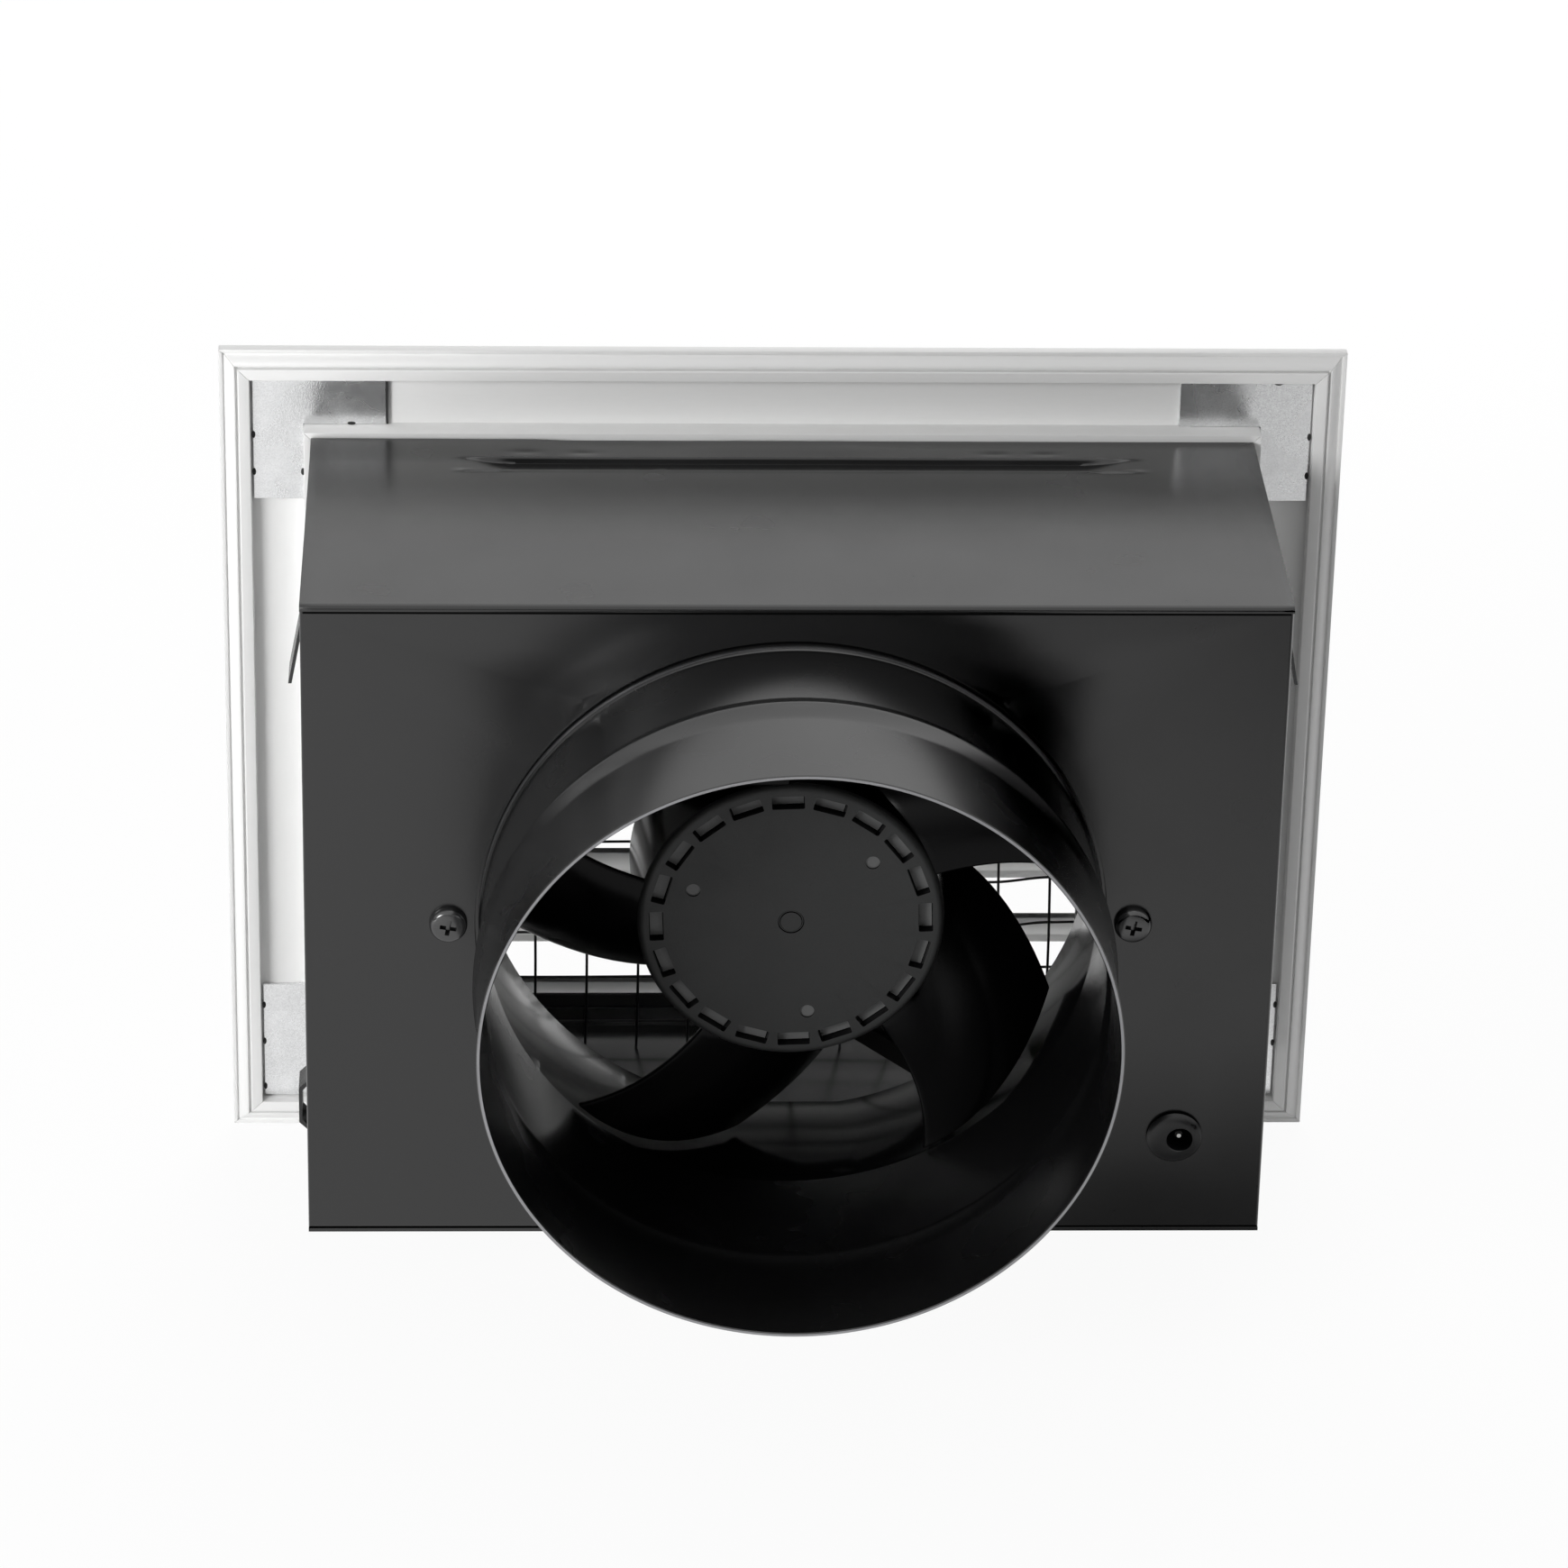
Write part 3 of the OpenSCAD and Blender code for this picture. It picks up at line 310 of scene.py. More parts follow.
def soften(piece, width, segments=2, angle=30):
    """Rounds the sharp edges and shades the rest smooth"""
    use(piece, "BEVEL", width=width, segments=segments, limit_method="ANGLE",
        angle_limit=radians(angle), harden_normals=False, use_clamp_overlap=True)
    shade_to(piece, 40)


def fit_out(piece, material, slot, *nodes, body="body"):
    """Gives a piece its material, unless it has some, its body and the nodes it replaces"""
    if not piece.data.materials:
        piece.data.materials.append(material)
    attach(piece, body)
    if nodes:
        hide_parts(*nodes)


frame_x, frame_high, frame_low = 0.1372, 0.1012, -0.1165
mitre_gap = 0.00005
# Across the rail and along Y: lip, cove, fine slot, ridge, channel, neck and front face
rail_outline = (
    (0, 0.0019), (0.0009, 0.0019), (0.0011, 0.0025), (0.0016, 0.0022), (0.0022, 0.0015),
    (0.0029, 0.0008), (0.0035, 0.00045), (0.0039, 0.00035), (0.00395, 0.0014),
    (0.0045, 0.0014), (0.00455, 0.00015), (0.0048, 0), (0.0073, 0), (0.00745, 0.00015),
    (0.00745, 0.0042), (0.0204, 0.0042), (0.0204, -0.002), (0.0222, -0.002),
    (0.0222, 0.0052), (0.0006, 0.0052), (0, 0.0046))
count = len(rail_outline)
rail_faces = [(k, (k + 1) % count, count + (k + 1) % count, count + k)
              for k in range(count)]
rail_faces += [tuple(range(count)), tuple(range(2 * count - 1, count - 1, -1))]
for side, edge, inward in (("top", frame_high, -1), ("bottom", frame_low, 1),
                           ("left", -frame_x, 1), ("right", frame_x, -1)):
    along_x = side in ("top", "bottom")
    low, high = (-frame_x, frame_x) if along_x else (frame_low, frame_high)
    corners = []
    for start, mitre in ((low, 1), (high, -1)):
        for w, y in rail_outline:
            run = start + mitre * (w + mitre_gap)
            place = edge + inward * w
            corners.append((run, y, place) if along_x else (place, y, run))
    mesh = bpy.data.meshes.new("rail_" + side)
    mesh.from_pydata(corners, [], rail_faces)
    rail = new_piece("rail_" + side, mesh)
    face_outwards(rail)
    white_coat = finish(
        "white_coat_" + side, (0.8, 0.8, 0.795), 0.42, 1400, shade=0.03, spread=0.12,
        bump=0.25, depth=0.00004, stretch=(0.15, 1, 1) if along_x else (1, 1, 0.15))
    soften(rail, 0.00012, angle=25)
    fit_out(rail, white_coat, "white_frame", "frame_rail_" + side)


# Corner keys: four L-shaped plates stamped from zinc-plated steel. They are pushed into
# the rails' channel and staked there, so each joint is held without a screw.
def cad_copy(node, name):
    """A copy of a CAD node with its loose triangles joined into whole faces"""
    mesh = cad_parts[node].data.copy()
    mesh.materials.clear()
    piece = new_piece(name, mesh)
    bpy.ops.object.mode_set(mode="EDIT")
    bpy.ops.mesh.select_all(action="SELECT")
    bpy.ops.mesh.customdata_custom_splitnormals_clear()
    bpy.ops.mesh.remove_doubles(threshold=0.000002)
    bpy.ops.mesh.dissolve_limited(angle_limit=radians(0.6))
    bpy.ops.object.mode_set(mode="OBJECT")
    return piece


def shift(piece, place):
    """Moves a piece's mesh, while the object itself stays at the origin"""
    piece.data.transform(Matrix.Translation(place))


def block(size):
    """A rectangular piece round the origin"""
    bpy.ops.object.select_all(action="DESELECT")
    bpy.ops.mesh.primitive_cube_add(size=1, scale=size)
    bpy.ops.object.transform_apply(location=True, rotation=True, scale=True)
    return bpy.context.object


def joined(pieces):
    """Several pieces made one, which keeps the first one's name"""
    bpy.ops.object.select_all(action="DESELECT")
    for piece in pieces:
        piece.select_set(True)
    bpy.context.view_layer.objects.active = pieces[0]
    bpy.ops.object.join()
    return pieces[0]


zinc_skin = finish("zinc_skin", (0.8, 0.805, 0.81), 0.27, 3200, shade=0.5, spread=0.3,
                   bump=0.5, metallic=0.95)
painted_notch_shade = finish("painted_notch_shade", (0.01, 0.01, 0.01), 0.7, 2500, shade=0.3)
keys = cad_copy("corner_keys", "keys")
soften(keys, 0.00018)
bpy.ops.object.shade_flat()
keys.data.materials.append(zinc_skin)
keys.data.materials.append(painted_notch_shade)
key_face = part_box("corner_keys")[0].y
stake_r = 0.0006
level_stretch, upright_stretch = (1.7, 0.45, 0.7), (0.8, 0.45, 1.6)
# Small dark lumps set into the keys' faces at the stake marks: painted shade for the punched
# notches there
marks = []
for x, z in ((-0.1291, 0.0781), (-0.1291, 0.0681), (-0.1172, 0.0681), (-0.1052, 0.0812),
             (0.1209, 0.0925), (0.1291, 0.0782), (0.1290, 0.0677), (0.1173, 0.0672),
             (-0.1291, -0.0821), (-0.1291, -0.0927), (-0.1291, -0.1060),
             (0.1291, -0.0821), (0.1290, -0.0933)):
    on_level_arm = abs(x) < 0.122 and z > 0.08
    bpy.ops.object.select_all(action="DESELECT")
    bpy.ops.mesh.primitive_uv_sphere_add(segments=16, ring_count=10, radius=stake_r)
    mark = bpy.context.object
    mark.data.transform(Matrix.Diagonal(
        (*(level_stretch if on_level_arm else upright_stretch), 1)))
    shift(mark, (x, key_face, z))
    marks.append(mark)
# A dark block at the sheared end of the top left key: painted shade for the gap there
end_gap_shade = block((0.00045, 0.0010, 0.0120))
soften(end_gap_shade, 0.0001)
shift(end_gap_shade, (-0.0965, key_face + 0.0005, 0.0870))
marks.append(end_gap_shade)
for mark in marks:
    mark.data.materials.append(painted_notch_shade)
joined([keys] + marks)
fit_out(keys, zinc_skin, "zinc_plate", "corner_keys")


# Louvre core: ten white blades that shed rain to the front, riveted between two end
# stiles and held by two upright supports behind them.
louvre_white, brush = (0.84, 0.84, 0.835), 0.15
blade_coat = finish("blade_coat", louvre_white, 0.45, 1400, shade=0.03, bump=0.25,
                    depth=0.00004, stretch=(brush, 1, 1))
stile_coat = finish("stile_coat", louvre_white, 0.45, 1400, shade=0.03, bump=0.25,
                    depth=0.00004, stretch=(1, 1, brush))
for node, name, coat in (("louvre_blades", "blades", blade_coat),
                         ("louvre_stiles", "stiles", stile_coat),
                         ("louvre_supports", "supports", stile_coat)):
    louvre_piece = cad_copy(node, name)
    soften(louvre_piece, 0.0003)
    fit_out(louvre_piece, coat, "white_frame", node)


# Insect screen: round wires welded where they cross, on a frame of flat strips at its
# top and sides. It stands on the air tray behind the louvres.
def ease(t):
    """A smooth step from 0 to 1"""
    t = min(max(t, 0), 1)
    return t * t * (3 - 2 * t)


def between_knots(knots, x):
    """A smooth value at x through points of (place, value)"""
    for (x0, v0), (x1, v1) in zip(knots, knots[1:]):
        if x <= x1:
            return v0 + (v1 - v0) * ease((x - x0) / (x1 - x0))
    return knots[-1][1]


def screen_wire(name, points):
    """One drawn wire as a round tube through its points"""
    path = bpy.data.curves.new(name, "CURVE")
    path.dimensions = "3D"
    path.bevel_depth = wire_r
    path.bevel_resolution = 2
    path.use_fill_caps = True
    run = path.splines.new("POLY")
    run.points.add(len(points) - 1)
    for knot, point in zip(run.points, points):
        knot.co = (*point, 1)
    new_piece(name, path)
    bpy.ops.object.convert(target="MESH")
    shade_to(bpy.context.object, 50)
    return bpy.context.object


def moved_copy(piece, move):
    """A copy of a piece with its own mesh, moved by a matrix"""
    twin = piece.copy()
    twin.data = piece.data.copy()
    twin.data.transform(move)
    bpy.context.scene.collection.objects.link(twin)
    return twin


def row_of(piece, count, step):
    """A piece and its copies at even steps"""
    return [piece] + [moved_copy(piece, Matrix.Translation(Vector(step) * k))
                      for k in range(1, count)]


wire_black = finish("wire_black", (0.035, 0.035, 0.037), 0.35, 2500, shade=0.3, spread=0.2,
                    bump=0.2)
wire_r, screen_pitch = 0.00034, 0.01275
level_start, level_count = -0.06605, 11
upright_start, upright_count, upright_wave = -0.09875, 16, 0.0003
# How far the bent screen lifts a level wire along its length
screen_sag = ((-0.12, -0.0006), (-0.06, -0.0017), (0, -0.0013), (0.053, -0.0002),
              (0.067, 0.0012), (0.078, 0.0014), (0.12, 0.0004))
screen_low, screen_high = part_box("mesh_screen")
level_y, upright_y = screen_high.y - wire_r, screen_low.y + wire_r
level_steps, upright_steps = 60, 30
level_xs = [k * screen_high.x / level_steps for k in range(-level_steps, level_steps + 1)]
first_level = screen_wire("level_wire", [
    (x, level_y, level_start + between_knots(screen_sag, x)) for x in level_xs])
first_upright = screen_wire("upright_wire", [
    (upright_start + upright_wave * sin(k / 3), upright_y,
     screen_low.z + k * (screen_high.z - screen_low.z) / upright_steps)
    for k in range(upright_steps + 1)])
screen = joined(row_of(first_level, level_count, (0, 0, screen_pitch))
                + row_of(first_upright, upright_count, (screen_pitch, 0, 0)))
screen.name = "screen_wires"
fit_out(screen, wire_black, "mesh_wire", "mesh_screen")

strip_black = finish("strip_black", (0.025, 0.025, 0.027), 0.4, 1800, shade=0.2, bump=0.2)
strips = cad_copy("screen_frame", "screen_strips")
soften(strips, 0.0003)
fit_out(strips, strip_black, "black_sheet", "screen_frame")


# Case: rear plate and side walls bent from one steel sheet with a black powder coat. A
# spring barb and a bridge are lanced from each wall, and the plate's bends are rounded.
def carve(piece, tool, operation="DIFFERENCE"):
    """Cuts a piece with another, or adds that to it, and removes the other"""
    use(piece, "BOOLEAN", operation=operation, object=tool, solver="EXACT")
    bpy.data.objects.remove(tool)


case_coat = finish("case_coat", (0.0028, 0.0028, 0.003), 0.25, 1600, shade=0.2,
                   spread=0.12, bump=0.2, specular=0.7)
case_x, plate_y, bend_r = 0.115, -0.1014, 0.0008
case = cad_copy("rear_case", "case_shell")
bpy.ops.object.mode_set(mode="EDIT")
bpy.ops.mesh.select_all(action="DESELECT")
bpy.ops.object.mode_set(mode="OBJECT")
for edge in case.data.edges:
    a, b = (case.data.vertices[k].co for k in edge.vertices)
    edge.select = (
        abs(abs(a.x) - case_x) < 1e-5 and abs(a.x - b.x) < 1e-5
        and abs(a.y - plate_y) < 1e-5 and abs(b.y - plate_y) < 1e-5
    )
bpy.ops.object.mode_set(mode="EDIT")
bpy.ops.mesh.select_mode(type="EDGE")
bpy.ops.mesh.bevel(offset=bend_r, segments=8)
bpy.ops.object.mode_set(mode="OBJECT")
soften(case, 0.0001)
# Two shallow round dents in the plate, left by the press
dent_x, dent_z, dent_ball_r, dent_depth = 0.0496, 0.0585, 0.006, 0.00012
for x in (-dent_x, dent_x):
    bpy.ops.object.select_all(action="DESELECT")
    bpy.ops.mesh.primitive_uv_sphere_add(
        segments=64, ring_count=64, radius=dent_ball_r,
        location=(x, plate_y - dent_ball_r + dent_depth, dent_z))
    carve(case, bpy.context.object)
shade_to(case, 13)
fit_out(case, case_coat, "black_sheet", "rear_case")


# Top panel: one steel sheet with a pressed groove and four small dents near the wall.
# Its rear edge is folded down over the rear plate. A thin matt black bead in the corner
# under it is painted shade for the dark seam there.
sheet, fold_r = 0.001, 0.0011
panel_end, panel_front, panel_back = 0.115, 0.003, -0.1024
panel_low, panel_top, panel_lip = 0.079, 0.0841, 0.0826
panel_wall, panel_run = -0.002, 0.0994


def panel_z(y):
    """The panel's height, which rises from the wall to the rear plate"""
    return panel_low + (panel_top - panel_low) * (panel_wall - y) / panel_run


groove_far, groove_near, groove_deep = -0.0125, -0.0206, 0.0017
groove_left, left_run, groove_right, right_run = -0.0815, 0.0165, 0.0885, 0.0175
wall_middle, wall_ends, wall_near = 0.0005, 0.0012, 0.0004
# The sheet stands up a little along the groove's near side, most of all near its ends
ridge_y, ridge_w, ridge_ends, ridge_middle = groove_near - 0.0004, 0.0008, 0.00034, 0.00005
panel_dents = (-0.0628, -0.0490, 0.0510, 0.0632)
dent_y, dent_w, dent_l, dent_deep = -0.0098, 0.0032, 0.0011, 0.0002
# Height of the slight wave behind the wall frame, along the panel
swell = ((-0.115, 0.0008), (-0.062, 0.0007), (-0.045, 0.0001), (-0.026, 0.0001),
         (-0.012, 0.0004), (0.010, 0.0004), (0.035, 0.0001), (0.115, 0.0001))
swell_start, swell_rise, swell_fall = -0.0021, 0.0007, 0.014


def panel_dip(x, y):
    """How far the groove, the dents and the sheet's slight waves lower the panel"""
    share = min(ease((x - groove_left) / left_run), ease((groove_right - x) / right_run))
    # Steep walls in the middle, and ends that rise like the tip of a spoon
    wall = wall_middle + wall_ends * (1 - share)
    dip = (groove_deep * share * ease((groove_far - y) / wall)
           * ease((y - groove_near) / (wall + wall_near)))
    lift = ridge_ends * 4 * share * (1 - share) + ridge_middle * share
    dip -= lift * exp(-((y - ridge_y) / ridge_w) ** 2)
    for x0 in panel_dents:
        dip += dent_deep * exp(-((x - x0) / dent_w) ** 2 - ((y - dent_y) / dent_l) ** 2)
    behind = swell_start - y
    if behind > 0:
        dip -= (between_knots(swell, x) * ease(behind / swell_rise)
                * (1 - ease(behind / swell_fall)))
    return dip


def spread_out(stops):
    """Positions from stops of (place, spacing up to the next place)"""
    places = []
    for (here, gap), (there, _) in zip(stops, stops[1:]):
        count = max(1, round(abs(there - here) / gap))
        places += [here + (there - here) * k / count for k in range(count)]
    return places + [stops[-1][0]]


def rod(sides, radius, length, turn):
    """A round rod through the origin, turned out of the upright"""
    bpy.ops.object.select_all(action="DESELECT")
    bpy.ops.mesh.primitive_cylinder_add(vertices=sides, radius=radius, depth=length,
                                        rotation=turn)
    bpy.ops.object.transform_apply(location=True, rotation=True, scale=True)
    return bpy.context.object


# Grid lines, close together over the groove's walls and ends
columns = spread_out([(-panel_end, 0.003), (-0.084, 0.0007), (-0.045, 0.002),
                      (0.046, 0.0008), (0.090, 0.003), (panel_end, 1)])
rows = spread_out([(panel_front, 0.001), (-0.0019, 0.00015), (-0.0031, 0.0005),
                   (-0.0121, 0.00012), (-0.0138, 0.0005), (-0.0194, 0.00015),
                   (-0.0228, 0.001), (-0.026, 0.004), (-0.100, 0.0004), (-0.1013, 1)])
# From the wall to the rear plate, round the fold and down the lip
section = [(y, panel_z(y)) for y in rows]
fold_y, fold_z, fold_steps = panel_back + fold_r, panel_top - fold_r, 8
section += [(fold_y - fold_r * sin(pi / 2 * k / fold_steps),
             fold_z + fold_r * cos(pi / 2 * k / fold_steps))
            for k in range(1, fold_steps + 1)]
section += [(panel_back, z) for z in (panel_lip + 0.0003, panel_lip)]
bpy.ops.object.select_all(action="DESELECT")
bpy.ops.mesh.primitive_grid_add(x_subdivisions=len(columns) - 1,
                                y_subdivisions=len(section) - 1, size=1)
panel = bpy.context.object
panel.name = "top_sheet"
order = sorted(panel.data.vertices, key=lambda v: (round(v.co.y, 6), round(v.co.x, 6)))
for k, vertex in enumerate(order):
    y, z = section[-1 - k // len(columns)]
    x = columns[k % len(columns)]
    vertex.co = (x, y, z - panel_dip(x, y))
face_outwards(panel)
if panel.data.polygons[len(panel.data.polygons) // 2].normal.z < 0:
    panel.data.flip_normals()
use(panel, "SOLIDIFY", thickness=sheet, offset=-1)
soften(panel, 0.0001, angle=60)
fit_out(panel, case_coat, "black_sheet", "top_panel")

# A matt black bead along the lip's lower edge: painted shade for the seam under the fold
seam_shade_black = finish("seam_shade_black", (0.001, 0.001, 0.001), 0.8, 1500, shade=0.2, specular=0.05)
bead_r, bead_length, bead_stretch = 0.00045, 0.2285, (1, 1, 1.25, 1)
bead = rod(24, bead_r, bead_length, (0, pi / 2, 0))
bead.name = "seam_shade_bead"
bead.data.transform(Matrix.Diagonal(bead_stretch))
shift(bead, (0, plate_y - 0.0001, panel_lip - 0.0004))
soften(bead, 0.00015, angle=60)
fit_out(bead, seam_shade_black, "black_sheet")


# Bottom panel, sill and air tray: folded steel sheets welded into the case. The tray lies
# level under the fan and ends in a lip against the sill, behind the louvres.
floor_sheet = cad_copy("bottom_panel", "bottom_sheet")
soften(floor_sheet, 0.0001)
bpy.ops.object.shade_flat()
fit_out(floor_sheet, case_coat, "black_sheet", "bottom_panel")
sill_coat = finish("sill_coat", (0.05, 0.05, 0.052), 0.5, 1600, shade=0.2, spread=0.14,
                   bump=0.25)
sill = cad_copy("inner_sill", "sill")
soften(sill, 0.0002)
fit_out(sill, sill_coat, "black_sheet", "inner_sill")
tray_coat = finish("tray_coat", (0.42, 0.42, 0.425), 0.2, 1600, shade=0.2, spread=0.12,
                   bump=0.2, metallic=0.85)
# The lip's top edge gets a lighter metallic band: a painted highlight along it
lip_highlight = finish("lip_highlight", (0.12, 0.12, 0.125), 0.45, 2600, shade=0.3, metallic=0.5)
tray = cad_copy("air_tray", "tray")
soften(tray, 0.00015)
tray.data.materials.append(tray_coat)
tray.data.materials.append(lip_highlight)
lip_top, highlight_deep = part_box("air_tray")[1].z, 0.00025
for face in tray.data.polygons:
    face.material_index = int(face.center.z > lip_top - highlight_deep)
fit_out(tray, tray_coat, "black_sheet", "air_tray")


# Duct collar: spun from black sheet, with a turned flange held inside the rear plate, a
# small rolled shoulder against the plate and a stop bead for the flexible duct.
def turned(name, outline, steps):
    """A piece turned about the duct's axis from a closed line of (radius, height)"""
    mesh = bpy.data.meshes.new(name)
    count = len(outline)
    mesh.from_pydata([(r, -h, 0) for r, h in outline],
                     [(k, (k + 1) % count) for k in range(count)], [])
    piece = new_piece(name, mesh)
    bpy.ops.object.mode_set(mode="EDIT")
    bpy.ops.mesh.select_all(action="SELECT")
    bpy.ops.mesh.spin(steps=steps, angle=tau, center=(0, 0, 0), axis=(0, 1, 0))
    bpy.ops.mesh.select_all(action="SELECT")
    bpy.ops.mesh.remove_doubles(threshold=0.000002)
    bpy.ops.mesh.normals_make_consistent(inside=False)
    bpy.ops.object.mode_set(mode="OBJECT")
    return piece


def from_axis(face):
    """How far a face is from the duct's axis, and how far along it"""
    return hypot(face.center.x, face.center.z), -face.center.y


collar_black = finish("collar_black", (0.0028, 0.0028, 0.003), 0.26, 1500, shade=0.2,
                      spread=0.12, bump=0.15, specular=0.85)
rim_highlight = finish("rim_highlight", (0.3, 0.3, 0.31), 0.35, 3000, shade=0.35, metallic=0.9)
root_shine = finish("root_shine", (0.17, 0.17, 0.175), 0.3, 3000, shade=0.35, metallic=0.9)
tube, sleeve, crest, rim_h = 0.0734, 0.0741, 0.0751, 0.1667
flange = [(0.0782, 0.0994), (0.0782, 0.1004), (0.0762, 0.1004), (0.0758, 0.0997),
          (0.0738, 0.0997)]
shoulder = [(0.0736, 0.1003), (0.0738, 0.1014), (0.0740, 0.1019), (0.0740, 0.1025),
            (0.0738, 0.1030), (tube, 0.1036), (tube, 0.1040)]
stop_bead = [(tube, 0.1270), (tube, 0.1274), (0.0748, 0.1315), (crest, 0.1322),
             (crest, 0.1330), (0.0749, 0.1336), (0.0742, 0.1376), (sleeve, 0.1386),
             (sleeve, 0.1392)]
rim = [(sleeve, rim_h - 0.0006), (sleeve, rim_h - 0.0003), (sleeve - 0.0002, rim_h),
       (sleeve - 0.0008, rim_h), (sleeve - sheet, rim_h - 0.0003)]
inside = [(sleeve - sheet, 0.1392), (sleeve - sheet, 0.1386), (sleeve - 0.0012, 0.1352),
          (tube - 0.0008, 0.1340), (tube - sheet, 0.1328), (tube - sheet, 0.1322),
          (0.0724, 0.0994)]
collar = turned("collar_tube", flange + shoulder + stop_bead + rim + inside, 192)
shade_to(collar, 30)
for material in (collar_black, rim_highlight, root_shine):
    collar.data.materials.append(material)
# The rim's faces and the shoulder's outer faces get lighter metallic finishes: painted
# highlights for the bright lines along the rim and at the collar's root
root_low, root_high, root_r, rim_deep = 0.1016, 0.1032, 0.0735, 0.00005
for face in collar.data.polygons:
    r, h = from_axis(face)
    if h > rim_h - rim_deep:
        face.material_index = 1
    elif root_low < h < root_high and r > root_r:
        face.material_index = 2
fit_out(collar, collar_black, "black_collar", "duct_collar")


# Fan housing: one black moulding with a round passage, two ears, three struts and the
# motor's base. The struts and the base, deep inside, are matt.
housing_black = finish("housing_black", (0.0022, 0.0022, 0.0024), 0.15, 1400, shade=0.2,
                       bump=0.12)
strut_matt = finish("strut_matt", (0.0015, 0.0015, 0.0016), 0.6, 1400, shade=0.2, bump=0.12,
                    specular=0.08)
housing = cad_copy("fan_housing", "housing")
soften(housing, 0.0003)
housing.data.materials.append(housing_black)
housing.data.materials.append(strut_matt)
strut_h, strut_r = 0.0665, 0.0727
for face in housing.data.polygons:
    r, h = from_axis(face)
    face.material_index = int(h < strut_h and r < strut_r)
fit_out(housing, housing_black, "fan_plastic", "fan_housing")


# Fan screws: two short black steel screws beside the collar, with domed heads and a cross
# recess. Each passes the plate and an ear of the housing into a zinc-plated nut.
screw_black = finish("screw_black", (0.01, 0.01, 0.0105), 0.17, 2200, shade=0.2,
                     spread=0.12, specular=1.0)
screw_x, head_low, head_high, shank_r, shank_end = 0.081, 0.1014, 0.1040, 0.0020, 0.0910
head_r, head_edge, dome_r, dome_h = 0.0045, 0.0006, 0.0014, 0.0018
cross_size, cross_taper = (0.0054, 0.0034, 0.0013), (0.5, 0.6)
heads = []
for side in (-1, 1):
    dome = [(head_r, head_low), (head_r, head_low + head_edge)]
    dome += [(head_r - dome_r + dome_r * cos(radians(k * 9)),
              head_low + head_edge + dome_h * sin(radians(k * 9))) for k in range(1, 10)]
    dome += [(0.0016, head_high - 0.00005), (0, head_high), (0, shank_end),
             (shank_r, shank_end), (shank_r, head_low)]
    head = turned("screw_head", dome, 64)
    soften(head, 0.00012, angle=50)
    for cross_turn in (-10, 80):
        wing = block(cross_size)
        for vertex in wing.data.vertices:
            if vertex.co.y > 0:
                vertex.co.x *= cross_taper[0]
                vertex.co.z *= cross_taper[1]
        wing.data.transform(Matrix.Translation((0, -head_high, 0))
                            @ Matrix.Rotation(-radians(cross_turn), 4, "Y"))
        carve(head, wing)
    shade_to(head, 35)
    shift(head, (side * screw_x, 0, 0))
    heads.append(head)
screws = joined(heads)
screws.name = "screws"
fit_out(screws, screw_black, "black_screw", "fan_screws")
nut_zinc = finish("nut_zinc", (0.62, 0.63, 0.64), 0.3, 1500, shade=0.15, metallic=1.0)
nuts = cad_copy("fan_nuts", "nuts")
soften(nuts, 0.0003)
fit_out(nuts, nut_zinc, "zinc_plate", "fan_nuts")


# Impeller hub: the cup-shaped middle of the impeller, one black moulding with its five
# blades. Its face is sparked matt, with a ring of balancing pockets and three gate marks.
rotor_gloss = finish("rotor_gloss", (0.002, 0.002, 0.0022), 0.2, 1400, shade=0.2,
                     specular=0.1)
rotor_matt = finish("rotor_matt", (0.0165, 0.017, 0.017), 0.55, 2400, shade=0.3,
                    spread=0.2, bump=0.5, depth=0.00008)
pocket_sheen = finish("pocket_sheen", (0.1, 0.101, 0.101), 0.45, 2400, shade=0.25,
                      spread=0.2, bump=0.25)
hub_r, hub_skirt, hub_low, hub_top, hub_round = 0.0364, 0.0378, 0.0680, 0.1007, 0.0018
cavity_r, cavity_top = 0.0344, 0.0974
ring_outer, ring_inner, ring_deep = 0.0031, 0.0025, 0.00025
outline = [(hub_skirt, hub_low), (hub_r, hub_top - hub_round)]
outline += [(hub_r - hub_round + hub_round * cos(k * pi / 16),
             hub_top - hub_round + hub_round * sin(k * pi / 16)) for k in range(1, 9)]
outline += [(ring_outer, hub_top), (0.0029, hub_top - ring_deep),
            (0.0027, hub_top - ring_deep), (ring_inner, hub_top), (0, hub_top),
            (0, cavity_top), (cavity_r, cavity_top), (cavity_r, hub_low)]
hub = turned("hub", outline, 120)
soften(hub, 0.00015, angle=60)
pocket_count, pocket_size, pocket_r, pocket_turn = 20, (0.0034, 0.0052, 0.0077), 0.0319, 2.2
cutters = []
for k in range(pocket_count):
    pocket = block(pocket_size)
    soften(pocket, 0.00035, segments=3)
    angle = radians(360 / pocket_count * k + pocket_turn)
    pocket.data.transform(Matrix.Rotation(-angle, 4, "Y")
                          @ Matrix.Translation((pocket_r, -hub_top, 0)))
    cutters.append(pocket)
gate_place, gate_r = 0.02475, 0.0017
for angle in (40, 160, 280):
    gate = rod(40, gate_r, 0.001, (pi / 2, 0, 0))
    shift(gate, (gate_place * cos(radians(angle)), -hub_top,
                 gate_place * sin(radians(angle))))
    cutters.append(gate)
carve(hub, joined(cutters))
shade_to(hub, 20)
for material in (rotor_gloss, rotor_matt, pocket_sheen):
    hub.data.materials.append(material)
# The level floors of the pockets and gate marks get a lighter grey: a painted sheen on them
matt_round, matt_r, matt_face, pocket_deep = 0.0019, 0.0345, 0.0003, 0.003
for face in hub.data.polygons:
    r, h = from_axis(face)
    level_face, deep = face.normal.y < -0.9, hub_top - h
    if deep < matt_round and r > matt_r or level_face and deep < matt_face:
        face.material_index = 1
    elif level_face and deep < pocket_deep:
        face.material_index = 2
fit_out(hub, rotor_gloss, "rotor_plastic", "impeller", body="impeller")


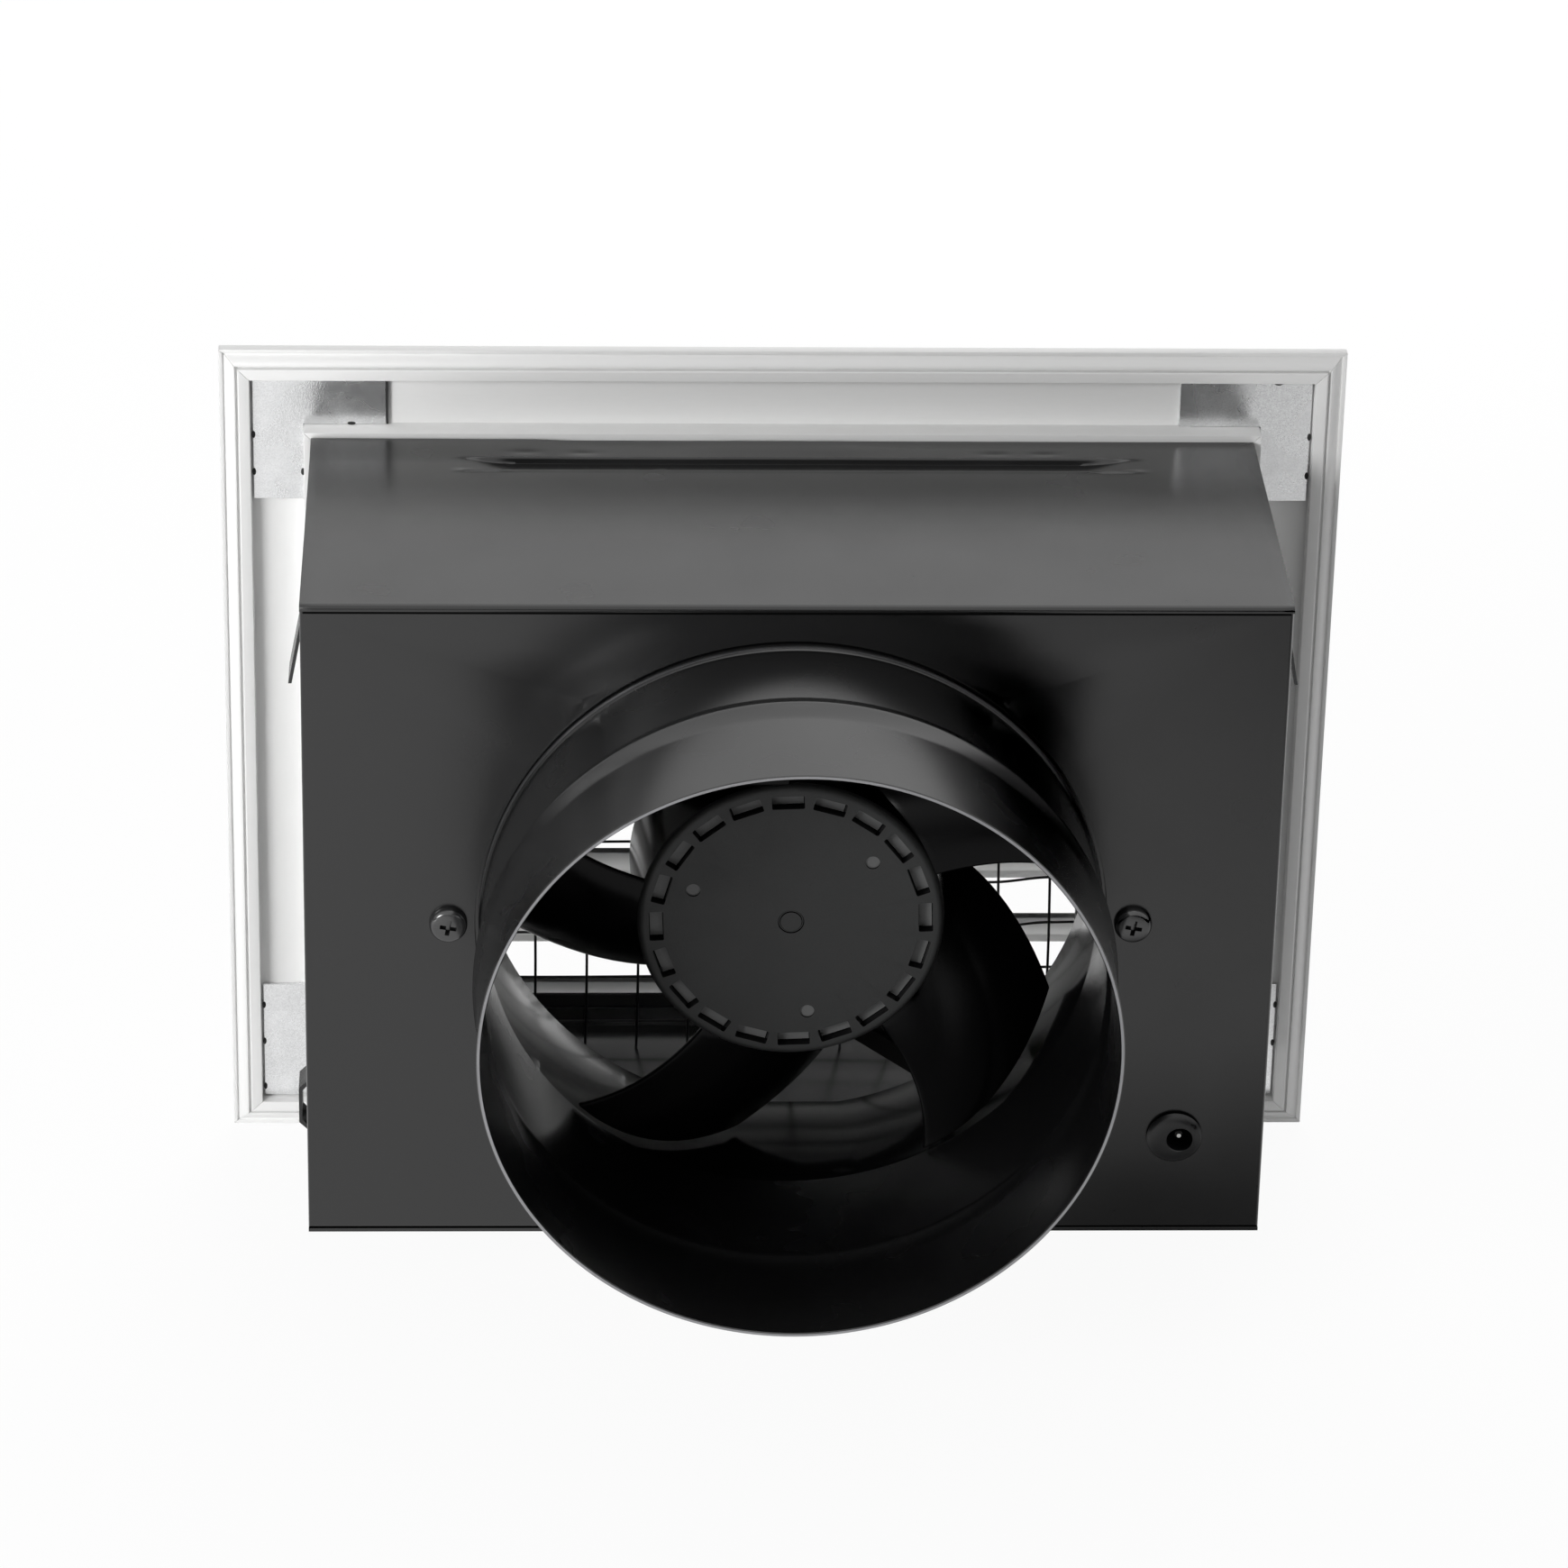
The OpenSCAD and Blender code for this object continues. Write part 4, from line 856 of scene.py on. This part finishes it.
# Impeller blades: five swept blades, thin at their edges, moulded in one with the hub.
# They run from near the hub's face to its far end, with their roots inside its skirt.
root, tip, blade_count, blade_turn = 0.0354, 0.0716, 5, -63
blade_front, blade_deep, blade_rise, blade_curve = 0.0988, 0.0729, 0.0019, 2.1
bpy.ops.object.select_all(action="DESELECT")
bpy.ops.mesh.primitive_grid_add(x_subdivisions=28, y_subdivisions=14, size=1)
blade = bpy.context.object
blade.name = "blade_1"
for vertex in blade.data.vertices:
    s, t = vertex.co.x + 0.5, vertex.co.y + 0.5
    r = root + t * (tip - root)
    # Degrees of the blade's two edges, from its root to its tip
    front_angle = 10.3 - 1.8 * t - 8 * t * t
    deep_angle = 74.6 - 50.4 * t + 11.7 * t * t
    angle = radians(blade_turn + front_angle + (deep_angle - front_angle) * s)
    fall = blade_front - blade_deep - blade_rise * t
    vertex.co = (r * cos(angle), -(blade_front - fall * s ** blade_curve), r * sin(angle))
use(blade, "SOLIDIFY", thickness=0.0017, offset=0)
face_outwards(blade)
soften(blade, 0.0006, segments=4, angle=50)
for k in range(1, blade_count):
    twin = moved_copy(blade, Matrix.Rotation(-radians(360 / blade_count * k), 4, "Y"))
    twin.name = f"blade_{k + 1}"
    fit_out(twin, rotor_gloss, "rotor_plastic", body="impeller")
fit_out(blade, rotor_gloss, "rotor_plastic", body="impeller")


# Power inlet: a black moulded barrel with a domed cap over the plate, which a nut holds
# from inside, and a plated pin in its bore.
inlet_black = finish("inlet_black", (0.006, 0.006, 0.0065), 0.35, 1800, shade=0.2, bump=0.15)
pin_bright = finish("pin_bright", (0.8, 0.8, 0.78), 0.12, 2500, shade=0.08, metallic=1.0)
inlet_x, inlet_z, cap_left = 0.0946, -0.0585, 0.0012
inlet = turned("inlet", [
    (0, 0.1010), (0.0052, 0.1010), (0.0056, 0.1016), (0.0063, 0.1019), (0.0067, 0.1022),
    (0.0067, 0.1024), (0.0064, 0.1028), (0.0057, 0.1032), (0.0046, 0.1035),
    (0.0034, 0.1036), (0, 0.1036)], 72)
shift(inlet, (inlet_x - cap_left, 0, inlet_z))
barrel = turned("inlet_barrel", [(0, 0.0880), (0.0048, 0.0880), (0.0050, 0.0882),
                                 (0.0050, 0.1030), (0, 0.1030)], 64)
shift(barrel, (inlet_x, 0, inlet_z))
carve(inlet, barrel, operation="UNION")
bore = turned("inlet_bore", [(0, 0.0920), (0.0031, 0.0920), (0.0031, 0.1034),
                             (0.0034, 0.1038), (0.0034, 0.1050), (0, 0.1050)], 64)
shift(bore, (inlet_x, 0, inlet_z))
carve(inlet, bore)
shade_to(inlet, 35)
fit_out(inlet, inlet_black, "inlet_plastic", "jack_body")


# Inner parts: the motor's bearings, rotor and wound stator, the board, the inlet's pin and
# nut, and the lead with its saddle. They keep their CAD shapes and get their finishes.
bare_metal = finish("bare_metal", (0.55, 0.56, 0.57), 0.28, 1800, metallic=1.0)
ferrite = finish("ferrite_black", (0.03, 0.03, 0.032), 0.6, 1500, shade=0.3, bump=0.3)
core_iron = finish("core_iron", (0.25, 0.26, 0.28), 0.4, 1500, shade=0.2, metallic=0.8,
                   stretch=(1, 8, 1))
copper = finish("enamelled_copper", (0.42, 0.15, 0.05), 0.3, 2500, shade=0.3, metallic=0.8,
                bump=0.4)
board_resist = finish("board_resist", (0.01, 0.08, 0.035), 0.35, 1200, shade=0.2)
chip_black = finish("chip_black", (0.02, 0.02, 0.02), 0.5, 3000, shade=0.3, bump=0.3)
sheath_black = finish("sheath_black", (0.014, 0.014, 0.014), 0.45, 1500, shade=0.2)
for node, material in (
    ("rotor_cup", core_iron), ("rotor_magnet", ferrite), ("motor_shaft", bare_metal),
    ("retaining_clip", chip_black), ("front_bearing", bare_metal),
    ("rear_bearing", bare_metal), ("preload_washer", bare_metal),
    ("stator_core", core_iron), ("stator_windings", copper),
    ("circuit_board", board_resist), ("board_parts", chip_black),
    ("jack_nut", nut_zinc), ("jack_pin", pin_bright), ("jack_terminals", nut_zinc),
    ("motor_lead", sheath_black), ("lead_clip", housing_black),
):
    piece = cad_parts[node]
    piece.data.materials.clear()
    piece.data.materials.append(material)
